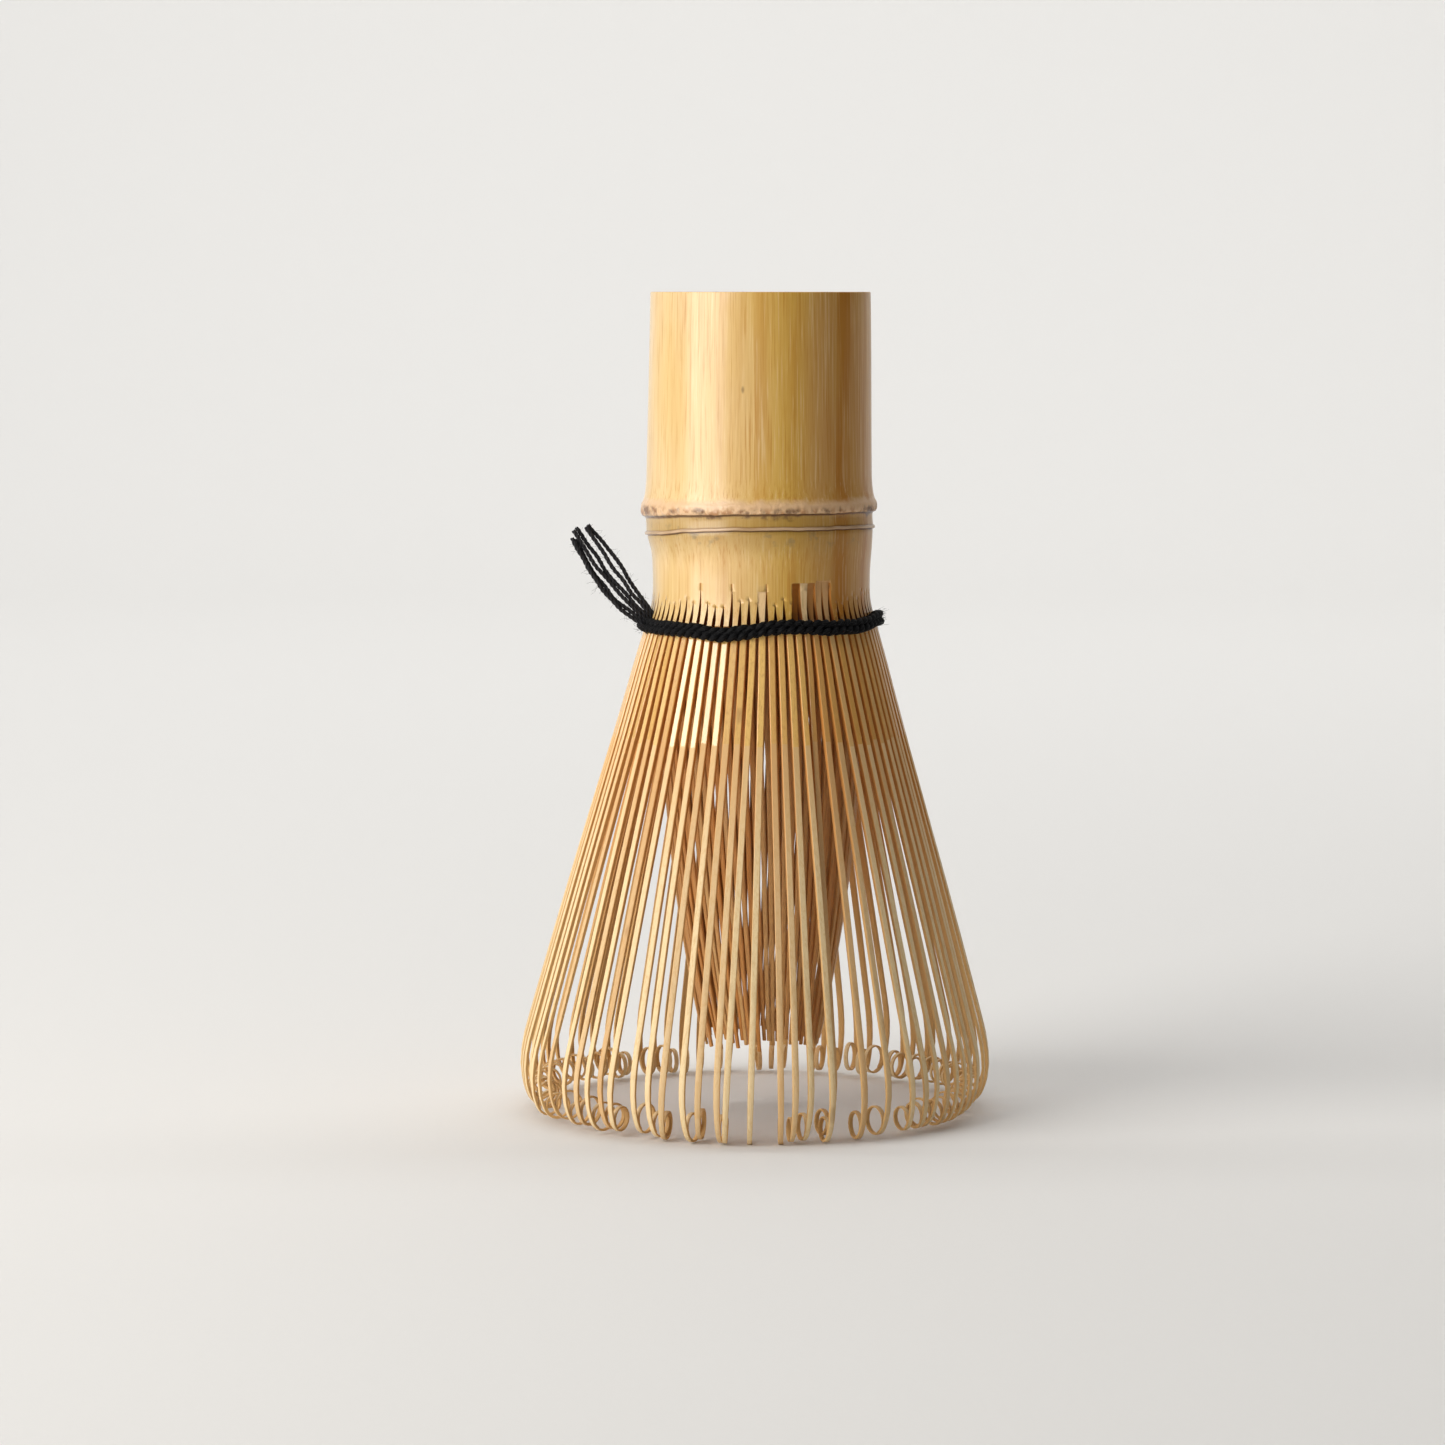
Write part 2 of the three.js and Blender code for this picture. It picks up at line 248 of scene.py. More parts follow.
def swept(bm, stations):
    """Carries an open section along stations, one extrusion for each, and closes both ends.
    A station is a matrix from the section's own frame, which runs along +Z."""
    bmesh.ops.transform(bm, matrix=stations[0], verts=bm.verts[:])
    edges = bm.edges[:]
    for before, after in zip(stations, stations[1:]):
        edges, verts = extruded(bm, edges)
        bmesh.ops.transform(bm, matrix=after @ before.inverted(), verts=verts)
    bmesh.ops.holes_fill(bm, edges=[edge for edge in bm.edges if edge.is_boundary], sides=0)
    bmesh.ops.recalc_face_normals(bm, faces=bm.faces[:])


# ---- material helpers ----


def shader_node(tree, kind, inputs=(), **settings):
    """Adds a node. Its inputs are given by name or number, as values or as the sockets that feed them."""
    made = tree.nodes.new("ShaderNode" + kind)
    for name, value in settings.items():
        setattr(made, name, value)
    for key, value in dict(inputs).items():
        if isinstance(value, bpy.types.NodeSocket):
            tree.links.new(value, made.inputs[key])
        else:
            made.inputs[key].default_value = value
    return made


def feed(tree, shader, name, value):
    tree.links.new(value, shader.inputs[name])


def maths(tree, operation, *values, clamp=False):
    return shader_node(tree, "Math", enumerate(values), operation=operation, use_clamp=clamp).outputs[0]


def times(tree, first, *others):
    for other in others:
        first = maths(tree, "MULTIPLY", first, other)
    return first


def between(tree, value, low, high, start=0.0, end=1.0):
    """start at low and end at high, eased in between."""
    inputs = {"Value": value, "From Min": low, "From Max": high, "To Min": start, "To Max": end}
    return shader_node(tree, "MapRange", inputs, interpolation_type="SMOOTHSTEP").outputs["Result"]


def rgba(colour):
    return colour if isinstance(colour, bpy.types.NodeSocket) else (*colour[:3], 1.0)


def mixed(tree, share, first, second):
    """Colours are numbers 6 and 7 of a Mix node's inputs, and number 2 of its outputs."""
    colours = {0: share, 6: rgba(first), 7: rgba(second)}
    return shader_node(tree, "Mix", colours, data_type="RGBA").outputs[2]


def laid_over(tree, under, over, strength, *masks):
    """One colour over another, as strongly as the masks' product says."""
    return mixed(tree, times(tree, *masks, strength), under, over)


def noise_of(tree, vector, scale, detail=2.0, roughness=0.5):
    inputs = {"Vector": vector, "Scale": scale, "Detail": detail, "Roughness": roughness}
    return shader_node(tree, "TexNoise", inputs).outputs["Fac"]


def stretched(tree, vector, scale):
    return shader_node(tree, "Mapping", {"Vector": vector, "Scale": scale}).outputs["Vector"]


def object_coordinates(tree):
    return shader_node(tree, "TexCoord").outputs["Object"]


def axes_of(tree, place):
    return shader_node(tree, "SeparateXYZ", {0: place}).outputs[:]


def attribute(tree, name):
    return shader_node(tree, "Attribute", attribute_name=name).outputs["Fac"]


def bumped(tree, shader, height, distance):
    """Distance is the depth that a height of one stands for."""
    bump = shader_node(tree, "Bump", {"Height": height, "Distance": distance})
    feed(tree, shader, "Normal", bump.outputs["Normal"])


def effect_group(name, inputs, outputs):
    """An empty node group with float, vector or colour sockets, and its input and output nodes."""
    tree = bpy.data.node_groups.new(name, "ShaderNodeTree")
    for socket, kind, default in inputs:
        made = tree.interface.new_socket(socket, in_out="INPUT", socket_type="NodeSocket" + kind)
        if default is not None:
            made.default_value = default
    for socket, kind in outputs:
        tree.interface.new_socket(socket, in_out="OUTPUT", socket_type="NodeSocket" + kind)
    return tree, tree.nodes.new("NodeGroupInput"), tree.nodes.new("NodeGroupOutput")


def new_material(name, roughness=0.5, sheen=0.0, specular=0.5):
    """A material with its Principled shader, and the tree that the rest is built in."""
    material = bpy.data.materials.new(name)
    material.use_nodes = True
    tree = material.node_tree
    tree.nodes.clear()
    finish = {
        "Roughness": roughness, "Coat Weight": 0.0, "Coat Roughness": 0.22, "Sheen Weight": sheen,
        "Specular IOR Level": specular,
    }
    shader = shader_node(tree, "BsdfPrincipled", finish)
    shader_node(tree, "OutputMaterial", {"Surface": shader.outputs["BSDF"]})
    return material, tree, shader


# ---- shared effects ----


def fibre_effect():
    """Bamboo's lengthwise fibres, along Z: broad streaks, fine lines and their height."""
    tree, given, result = effect_group(
        "bamboo_fibres",
        [("Coordinates", "Vector", None), ("Shift", "Float", 0.0)],
        [("Broad", "Float"), ("Fine", "Float"), ("Height", "Float")],
    )
    aside = given.outputs["Shift"]
    shift = shader_node(tree, "CombineXYZ", {0: aside, 1: aside}).outputs[0]
    shifted = {0: given.outputs["Coordinates"], 1: shift}
    moved = shader_node(tree, "VectorMath", shifted, operation="ADD").outputs[0]
    broad = noise_of(tree, stretched(tree, moved, (1, 1, 0.035)), 420, detail=3, roughness=0.6)
    fine = noise_of(tree, stretched(tree, moved, (1, 1, 0.014)), 3600, detail=3, roughness=0.7)
    height = maths(tree, "ADD", times(tree, broad, 0.6), times(tree, fine, 0.4))
    for name, value in (("Broad", broad), ("Fine", fine), ("Height", height)):
        tree.links.new(value, result.inputs[name])
    return tree


def speckle_effect():
    """Small dark specks, longer along Z. Amount is the share of the cells that hold one."""
    tree, given, result = effect_group(
        "specks",
        [("Coordinates", "Vector", None), ("Scale", "Float", 500.0), ("Amount", "Float", 0.1)],
        [("Mask", "Float")],
    )
    long = stretched(tree, given.outputs["Coordinates"], (1, 1, 0.45))
    inputs = {"Vector": long, "Scale": given.outputs["Scale"], "Randomness": 1.0}
    cells = shader_node(tree, "TexVoronoi", inputs)
    spot = between(tree, cells.outputs["Distance"], 0.10, 0.26, 1.0, 0.0)
    draw = shader_node(tree, "SeparateColor", {0: cells.outputs["Color"]}).outputs[0]
    chosen = maths(tree, "LESS_THAN", draw, given.outputs["Amount"])
    tree.links.new(times(tree, spot, chosen), result.inputs["Mask"])
    return tree


def patch_effect():
    """Soft blotches: how strongly a stain shows at each place."""
    tree, given, result = effect_group(
        "blotches",
        [("Coordinates", "Vector", None), ("Scale", "Float", 300.0), ("Threshold", "Float", 0.55)],
        [("Mask", "Float")],
    )
    cloud = noise_of(tree, given.outputs["Coordinates"], given.outputs["Scale"], detail=4, roughness=0.6)
    edge = maths(tree, "ADD", given.outputs["Threshold"], 0.16)
    tree.links.new(between(tree, cloud, given.outputs["Threshold"], edge), result.inputs["Mask"])
    return tree


EFFECT_MAKERS = {"fibres": fibre_effect, "specks": speckle_effect, "blotches": patch_effect}
EFFECTS = {}


def effect(tree, name, **inputs):
    """Places the shared group of that name, which is built the first time, and returns its outputs."""
    if name not in EFFECTS:
        EFFECTS[name] = EFFECT_MAKERS[name]()
    return shader_node(tree, "Group", inputs, node_tree=EFFECTS[name]).outputs


def blotches(tree, place, scale, threshold):
    return effect(tree, "blotches", Coordinates=place, Scale=scale, Threshold=threshold)["Mask"]


def specks(tree, place, scale, amount):
    return effect(tree, "specks", Coordinates=place, Scale=scale, Amount=amount)["Mask"]


# ---- materials ----

# Tones of bamboo that go with the colours in the settings, some of them carrying painted light and shade as
# noted where they are used.
# The straw is painted light, paling the left side of the handle where the key light falls.
STRAW_PAINTED_LIGHT = (0.80, 0.61, 0.35)
CREAM = (0.86, 0.67, 0.38)
OLIVE = (0.37, 0.222, 0.050)
MILDEW = (0.20, 0.16, 0.09)
SCORCHED = (0.40, 0.17, 0.055)
LIP_PALE, LIP_DARK = (0.62, 0.43, 0.28), (0.44, 0.28, 0.16)
# The chips' dark amber is partly painted shade in their deeper recesses.
CHIP_AMBER_AND_SHADE, CHIP_FIBRE = (0.52, 0.20, 0.030), (0.35, 0.16, 0.05)
# Painted shade inside the slits: reddish at their tops, darker down towards the thread.
SLIT_SHADE_TOP, SLIT_SHADE_DEEP = (0.50, 0.20, 0.040), (0.20, 0.06, 0.010)
BORE_STREAK, BORE_BLOT = (0.62, 0.39, 0.17), (0.30, 0.17, 0.08)
CUT_RIM, BUNDLE = (0.50, 0.28, 0.10), (0.22, 0.10, 0.04)
# The tines' amber is partly painted shade on their right side, away from the key light.
TINE_FIBRE, TINE_AMBER_AND_SHADE = (0.55, 0.28, 0.08), (0.56, 0.24, 0.035)
SHAVED_FIBRE, SHAVED_WARM = (0.60, 0.34, 0.12), (0.70, 0.435, 0.185)
TINE_DARK, TINE_PALE, TINE_SPECK = (0.52, 0.25, 0.075), (0.86, 0.66, 0.38), (0.25, 0.11, 0.04)
SIDE_PALE, INNER_PALE, INNER_FIBRE = (0.66, 0.41, 0.165), (0.68, 0.40, 0.15), (0.36, 0.15, 0.04)

PAPER_TOOTH = (0.66, 0.65, 0.63)


def grown_skin(tree, settings, x, fibres, cloud):
    """Streaks of amber, more of them on the right, where the amber is partly painted shade on the side away
    from the key light; green gold at the front right, and straw at the left as painted light on the lit
    side.
    """
    # Partly painted shade: the amber grows towards the right, away from the key light.
    amber_and_shade_right = between(tree, x, 0.2 * MM, 11 * MM)
    greenish = times(tree, between(tree, x, -3 * MM, 4 * MM), between(tree, x, 9 * MM, 4 * MM))
    skin = laid_over(tree, settings.skin_colour, settings.green_colour, 0.75, greenish)
    streak = times(tree, between(tree, fibres["Broad"], 0.46, 0.70), 0.45)
    amber_and_shade = maths(tree, "MULTIPLY_ADD", amber_and_shade_right, 0.62, streak, clamp=True)
    skin = mixed(tree, amber_and_shade, skin, settings.amber_and_shade_colour)
    # Painted light: paler straw on the left, where the key light falls.
    skin = mixed(tree, between(tree, x, -5 * MM, -13 * MM, 0.0, 0.65), skin, STRAW_PAINTED_LIGHT)
    skin = mixed(tree, between(tree, fibres["Fine"], 0.50, 0.68, 0.0, 0.55), skin, settings.amber_and_shade_colour)
    skin = mixed(tree, between(tree, fibres["Fine"], 0.46, 0.30, 0.0, 0.42), skin, CREAM)
    return mixed(tree, between(tree, cloud, 0.35, 0.70, 0.0, 0.30), skin, settings.green_colour)


def skin_below_scar(tree, scar, skin, place, cloud):
    """Olive under the scar, clearing downwards, with mildew close to the scar."""
    x, _, z = axes_of(tree, place)
    level = maths(tree, "ADD", z, times(tree, maths(tree, "SUBTRACT", cloud, 0.5), 4 * MM))
    clears = between(tree, level, scar - 5 * MM, scar - 0.5 * MM)
    ends = between(tree, z, scar + 3.2 * MM, scar + 2 * MM)
    less_at_right = between(tree, x, 12 * MM, 3 * MM, 0.20, 0.62)
    skin = mixed(tree, times(tree, clears, ends, less_at_right), skin, OLIVE)
    nears = between(tree, z, scar - 3.5 * MM, scar - 1 * MM)
    stops = between(tree, z, scar + 1 * MM, scar)
    return laid_over(tree, skin, MILDEW, 0.55, blotches(tree, place, 520.0, 0.56), nears, stops)


def node_skin(tree, settings, skin, place):
    """A dry pinkish ridge, scorched in its lower half, with dark blotches under it that are partly stains
    and partly painted shade under its overhang. Returns the mask of it too.
    """
    ridge, z = settings.ridge_height, axes_of(tree, place)[2]
    ragged = maths(tree, "SUBTRACT", noise_of(tree, place, 500, detail=4), 0.5)
    level = maths(tree, "ADD", z, times(tree, ragged, 1.6 * MM))
    dry = times(tree, between(tree, level, ridge + 1.5 * MM, ridge + 0.5 * MM), attribute(tree, "node"))
    skin = laid_over(tree, skin, settings.node_colour, 0.85, dry)
    lower_half = between(tree, z, ridge + 0.5 * MM, ridge - 0.6 * MM)
    skin = laid_over(tree, skin, SCORCHED, 0.75, blotches(tree, place, 760.0, 0.46), lower_half, dry)
    # Partly painted shade: a blotchy dark band under the ridge's overhang, partly real stains.
    shade_under_ridge = between(tree, level, ridge + 0.3 * MM, ridge - 0.3 * MM)
    ends = between(tree, level, ridge - 1.6 * MM, ridge - 1.0 * MM)
    stains = blotches(tree, place, 420.0, 0.47)
    return laid_over(tree, skin, settings.stain_and_shade_colour, 0.8, shade_under_ridge, ends, stains), dry


def open_wood(tree, settings, skin, place, fibres):
    """Bare wood in the chips, the deeper ones darker partly as painted shade, and painted shade inside the
    slits, darker towards the thread.
    """
    # The deeper chips are darker, partly as painted shade.
    wood = mixed(tree, attribute(tree, "bare_tone_and_shade"), settings.wood_colour, CHIP_AMBER_AND_SHADE)
    wood = mixed(tree, between(tree, fibres["Fine"], 0.50, 0.68, 0.0, 0.55), wood, CHIP_FIBRE)
    skin = mixed(tree, attribute(tree, "bare"), skin, wood)
    # Painted shade inside the slits, darker the deeper down.
    shade_deepens = between(tree, axes_of(tree, place)[2], FLEX_HEIGHT + 4 * MM, FLEX_HEIGHT + 0.5 * MM)
    return mixed(tree, attribute(tree, "slit"), skin, mixed(tree, shade_deepens, SLIT_SHADE_TOP, SLIT_SHADE_DEEP))


def culm_skin(settings):
    """The handle: golden skin, a dry stained node, the sheath's scar, and bare wood in slits and chips."""
    material, tree, shader = new_material("culm_skin", specular=0.2)
    place = object_coordinates(tree)
    x = axes_of(tree, place)[0]
    fibres = effect(tree, "fibres", Coordinates=place)
    cloud = noise_of(tree, stretched(tree, place, (1, 1, 0.3)), 130, detail=2)
    skin = grown_skin(tree, settings, x, fibres, cloud)
    skin = skin_below_scar(tree, settings.scar_height, skin, place, cloud)
    skin, dry = node_skin(tree, settings, skin, place)
    lip = mixed(tree, between(tree, cloud, 0.42, 0.60), LIP_PALE, LIP_DARK)
    skin = laid_over(tree, skin, lip, 0.85, attribute(tree, "lip"))
    # Painted shade in the grooves under the ridge and round the scar's lip.
    skin = laid_over(tree, skin, settings.stain_and_shade_colour, 0.95, attribute(tree, "groove_shade"))
    skin = laid_over(tree, skin, settings.stain_and_shade_colour, 0.6, specks(tree, place, 760.0, 0.012))
    feed(tree, shader, "Base Color", open_wood(tree, settings, skin, place, fibres))

    bare = attribute(tree, "bare")
    rough = maths(tree, "MULTIPLY_ADD", fibres["Fine"], 0.16, 0.27)
    rough = maths(tree, "MAXIMUM", rough, times(tree, dry, 0.50))
    feed(tree, shader, "Roughness", maths(tree, "MAXIMUM", rough, times(tree, bare, 0.7)))
    worn = between(tree, x, 5 * MM, -3 * MM, 0.28, 0.85)
    uncut = maths(tree, "SUBTRACT", 1.0, maths(tree, "MAXIMUM", bare, attribute(tree, "slit")))
    feed(tree, shader, "Coat Weight", times(tree, worn, uncut))
    crust = times(tree, noise_of(tree, place, 1500, detail=3), dry, 2.2)
    bumped(tree, shader, maths(tree, "ADD", fibres["Height"], crust), 0.05 * MM)
    return material


def cut_wood(settings):
    """The cut end, with the dark dots of the fibre bundles, and the culm's bore."""
    material, tree, shader = new_material("cut_wood", roughness=0.7)
    place = object_coordinates(tree)
    x, y, z = axes_of(tree, place)
    flat = shader_node(tree, "CombineXYZ", {0: x, 1: y}).outputs[0]
    from_axis = shader_node(tree, "VectorMath", {0: flat}, operation="LENGTH").outputs["Value"]
    skinwards = between(tree, from_axis, settings.radius - settings.wall, settings.radius)
    dots = []
    for scale, size in ((1500, 0.36), (2700, 0.42)):
        cells = shader_node(tree, "TexVoronoi", {"Vector": flat, "Scale": scale, "Randomness": 0.75})
        dots.append(between(tree, cells.outputs["Distance"], size * 0.6, size, 1.0, 0.0))
    sparse, dense = dots
    thicken = maths(tree, "MULTIPLY_ADD", maths(tree, "SUBTRACT", dense, sparse), skinwards, sparse)
    spots = times(tree, thicken, between(tree, z, TOP - 0.6 * MM, TOP - 0.3 * MM))
    fibres = effect(tree, "fibres", Coordinates=place, Shift=0.3)
    wood = mixed(tree, between(tree, fibres["Broad"], 0.35, 0.7), settings.wood_colour, BORE_STREAK)
    wood = laid_over(tree, wood, CUT_RIM, 0.45, skinwards)
    wood = laid_over(tree, wood, BUNDLE, 0.75, spots)
    inside = between(tree, z, TOP - 1 * MM, TOP - 6 * MM)
    wood = laid_over(tree, wood, BORE_BLOT, 0.5, blotches(tree, place, 210.0, 0.54), inside)
    feed(tree, shader, "Base Color", wood)
    bumped(tree, shader, maths(tree, "SUBTRACT", fibres["Height"], times(tree, spots, 0.8)), 0.06 * MM)
    return material


def outer_tine_bamboo(settings):
    """Glossy skin near the thread, a crisp line where the knife came in, and paler shaved wood below."""
    material, tree, shader = new_material("outer_tine_bamboo", specular=0.3)
    shader.inputs["Coat IOR"].default_value = 1.8
    shader.inputs["Coat Roughness"].default_value = 0.15
    place = object_coordinates(tree)
    x, _, z = axes_of(tree, place)
    tone, skin_side = attribute(tree, "tone"), attribute(tree, "skin")
    fibres = effect(tree, "fibres", Coordinates=place, Shift=tone)
    fine = fibres["Fine"]
    line = maths(tree, "MULTIPLY_ADD", tone, 0.9 * MM, settings.shaved_from - 0.45 * MM)
    above = maths(tree, "GREATER_THAN", z, line)

    upper = mixed(tree, between(tree, fine, 0.45, 0.70, 0.0, 0.5), settings.skin_colour, TINE_FIBRE)
    # Amber on the right, partly painted shade on the side away from the key light.
    upper = mixed(tree, between(tree, x, 0.0, 13 * MM, 0.0, 0.6), upper, TINE_AMBER_AND_SHADE)
    lower = mixed(tree, between(tree, fine, 0.42, 0.70, 0.0, 0.45), settings.shaved_colour, SHAVED_FIBRE)
    lower = laid_over(tree, lower, SHAVED_WARM, 0.8, between(tree, z, 30 * MM, settings.shaved_from))
    face = mixed(tree, above, lower, upper)
    face = mixed(tree, between(tree, tone, 0.55, 1.0, 0.0, 0.55), face, TINE_DARK)
    face = mixed(tree, between(tree, tone, 0.35, 0.0, 0.0, 0.30), face, TINE_PALE)
    face = laid_over(tree, face, TINE_SPECK, 0.35, specks(tree, place, 330.0, 0.05))
    # Partly painted shade: the sides are darker near the thread, where the tines crowd, and paler lower
    # down, where they spread.
    sides = mixed(tree, between(tree, z, 62 * MM, 12 * MM), settings.side_colour_and_shade, SIDE_PALE)
    feed(tree, shader, "Base Color", mixed(tree, between(tree, skin_side, 0.15, 0.85), sides, face))

    gloss = times(tree, above, between(tree, skin_side, 0.4, 0.9))
    rough = maths(tree, "MULTIPLY_ADD", gloss, -0.29, 0.56)
    feed(tree, shader, "Roughness", maths(tree, "MULTIPLY_ADD", fine, 0.08, rough))
    feed(tree, shader, "Coat Weight", times(tree, gloss, between(tree, x, 4 * MM, -4 * MM, 0.25, 1.0)))
    bumped(tree, shader, fibres["Height"], 0.03 * MM)
    return material


def inner_tine_bamboo(settings):
    """Wood from inside the wall, darker partly as painted shade inside the bundle, with a few glossy
    slivers.
    """
    material, tree, shader = new_material("inner_tine_bamboo")
    tone = attribute(tree, "tone")
    fibres = effect(tree, "fibres", Coordinates=object_coordinates(tree), Shift=tone)
    # The sides' colour, partly painted shade, paler at random.
    wood = mixed(tree, tone, settings.side_colour_and_shade, INNER_PALE)
    wood = mixed(tree, between(tree, fibres["Fine"], 0.42, 0.70, 0.0, 0.55), wood, INNER_FIBRE)
    feed(tree, shader, "Base Color", wood)
    glint = between(tree, tone, 0.80, 0.95)
    feed(tree, shader, "Roughness", maths(tree, "MULTIPLY_ADD", glint, -0.30, 0.58))
    bumped(tree, shader, fibres["Height"], 0.03 * MM)
    return material


def black_cotton(settings):
    """Dyed cotton: fibres wind round each ply, with a soft sheen, and paler streaks along the strands that
    are partly worn fibres and partly painted highlight.
    """
    material, tree, shader = new_material("black_cotton", roughness=0.66, sheen=0.03, specular=0.14)
    shader.inputs["Sheen Roughness"].default_value = 0.5
    shader.inputs["Sheen Tint"].default_value = (0.30, 0.30, 0.34, 1)
    around = shader_node(tree, "UVMap", uv_map="ply").outputs[0]
    wound = stretched(tree, around, (1.0, 3.2, 1.0))
    waves = {"Vector": wound, "Scale": 1.6, "Distortion": 1.2, "Detail": 2.0, "Detail Scale": 3.0}
    strands = shader_node(tree, "TexWave", waves, bands_direction="DIAGONAL").outputs["Fac"]
    felt = noise_of(tree, object_coordinates(tree), 6500, detail=3, roughness=0.7)
    # Paler strands, partly worn fibres and partly painted highlight streaks.
    faded_and_highlight = times(tree, between(tree, strands, 0.45, 1.0), between(tree, felt, 0.42, 0.72))
    feed(tree, shader, "Base Color", laid_over(tree, settings.colour, settings.faded_and_highlight_colour, 0.65, faded_and_highlight))
    bumped(tree, shader, maths(tree, "MULTIPLY_ADD", strands, 0.7, times(tree, felt, 0.5)), 0.05 * MM)
    return material


def paper_sweep(settings):
    """Matt backdrop paper with a faint tooth."""
    material, tree, shader = new_material("paper_sweep", roughness=0.9, specular=0.2)
    tooth = noise_of(tree, object_coordinates(tree), 900, detail=2)
    feed(tree, shader, "Base Color", laid_over(tree, settings.floor_colour, PAPER_TOOTH, 0.10, tooth))
    bumped(tree, shader, tooth, 0.02 * MM)
    return material


# ---- handle ----

# What each point of the culm's outline is. Skin and what follows it is on the outside.
INSIDE, CUT_END, SKIN, LIP, GROOVE, SHALLOW_GROOVE, NODE = range(7)

COLUMNS = 6  # mesh columns in one tine's pitch: slit, wall, edge, tooth, edge, wall
TOOTH = 3  # the column in a tooth's middle
TOOTH_MARK = -4  # keeps the faces beside it from being marked as a slit's
SLIT_HALF = 0.20  # of the pitch, at the thread
SLIT_START = 0.016  # of the pitch, at a slit's top
SLIT_DEPTH = 1.15 * MM
SLIT_WALL = 0.85  # of the depth, at the foot of a slit's wall
SLIT_STEEP = 0.03  # of the pitch, from a slit's edge to the foot of its wall
TEETH_REACH = 0.72 * MM  # below the lowest part of the CAD handle
NECK_STANDS, WAIST_STANDS, FOOT_STANDS = 0.50, -0.10, 0.70  # mm above the cut end's radius

# Chips in the tops of the tines right of the front: the ledge that they reach, their depth in millimetres,
# and the tone of their wood, which is partly its orange and partly painted shade, darkest in the deepest
# chips.
LEDGES = (5.5 * MM, 5.25 * MM, 4.2 * MM)
CHIPS = {
    4: (1, 0.85, 1.0),
    5: (1, 0.26, 0.0),
    6: (1, 0.66, 0.8),
    7: (0, 0.34, 0.5),
    8: (0, 0.34, 0.45),
    0: (2, 0.10, 0.1),
}
# Slits that reach higher than the others, in millimetres above the line where the tines flex.
TALL_SLITS = {-7: 4.5, -3: 4.6, 1: 4.6, 5: 5.0, 6: 5.0, 7: 5.0, 8: 5.1, 9: 5.2}


def bezier(start, first, second, end, points):
    """Points on a cubic curve after its start."""
    start, first, second, end = (Vector(p) for p in (start, first, second, end))
    found = []
    for i in range(1, points + 1):
        t = i / points
        back = 1 - t
        found.append(back**3 * start + 3 * t * back**2 * first + 3 * t * t * back * second + t**3 * end)
    return found


def culm_outline(settings):
    """The wall's section as (radius, height, kind): up the bore, over the cut end, down the skin, and up
    inside the split part to the underside of the diaphragm. It is worked out in millimetres."""
    sizes = (settings.radius, settings.wall, settings.ridge_height, settings.scar_height, TOP, FLEX_HEIGHT)
    radius, wall, ridge, scar, top, flex = (size / MM for size in sizes)
    bore, foot = radius - wall, (HANDLE_FOOT - TEETH_REACH) / MM
    crest, lip = radius + settings.ridge_stands / MM, radius + settings.scar_stands / MM
    neck, waist = radius + NECK_STANDS, radius + WAIST_STANDS
    outline = []

    def run(kind, *points):
        outline.extend((place[0] * MM, place[1] * MM, kind) for place in points)

    edge = (bore * 0.88, ridge - 0.9)
    run(INSIDE, (0, ridge - 1.5), (bore * 0.55, ridge - 1.35), edge)
    run(INSIDE, *bezier(edge, (bore * 0.97, ridge - 0.7), (bore, ridge), (bore, ridge + 1.6), 4))
    run(INSIDE, *((bore, lerp(ridge + 1.6, top, share)) for share in (0.3, 0.6, 0.9)))
    run(CUT_END, (bore + 0.02, top - 0.12), (bore + 0.14, top), (radius - 0.17, top))
    run(SKIN, (radius - 0.05, top - 0.04), (radius, top - 0.16))
    shares = (0.08, 0.2, 0.33, 0.46, 0.6, 0.73, 0.86, 1)
    run(SKIN, *((radius + 0.42 * share, lerp(top, ridge + 4, share)) for share in shares))

    brow, under = (crest - 0.12, ridge + 0.62), (crest - 0.22, ridge - 0.76)
    swell, rise = (radius + 0.52, ridge + 2.2), (radius + 0.62, ridge + 1.2)
    hollow = bezier((radius + 0.42, ridge + 4), swell, rise, brow, 7)
    run(SKIN, *hollow[:4])
    run(NODE, *hollow[4:])
    run(NODE, *bezier(brow, (crest - 0.02, ridge + 0.5), (crest, ridge + 0.3), (crest, ridge), 3))
    run(NODE, *bezier((crest, ridge), (crest, ridge - 0.35), (crest - 0.03, ridge - 0.62), under, 5)[:-1])
    run(GROOVE, under, (neck + 0.08, ridge - 0.88))
    run(SKIN, (neck, ridge - 1.12), (neck - 0.02, ridge - 1.6), (neck, scar + 0.46))
    run(SHALLOW_GROOVE, (neck + 0.01, scar + 0.27))
    run(LIP, (lip - 0.06, scar + 0.19), (lip, scar + 0.08), (lip, scar - 0.09))
    run(GROOVE, (lip - 0.05, scar - 0.20), (neck - 0.14, scar - 0.25))

    start, calm = (neck - 0.10, scar - 0.42), (waist, flex + 5.7)
    bend_in = (radius + 0.22, start[1] - 1.7)
    run(SKIN, start, *bezier(start, bend_in, (waist, calm[1] + 2.4), calm, 9))
    for ledge in LEDGES:
        run(SKIN, (waist, flex + ledge / MM), (waist, flex + ledge / MM - 0.03))
    start = (waist, flex + LEDGES[-1] / MM - 0.2)
    flare = (radius + 0.28, foot + 1.2)
    run(SKIN, start, *bezier(start, (waist, start[1] - 2.2), flare, (radius + FOOT_STANDS, foot), 20))
    run(INSIDE, (bore + 0.75, foot), (bore, foot + 5), (bore - 0.2, ridge - 3.4), (0, ridge - 2.9))
    return outline


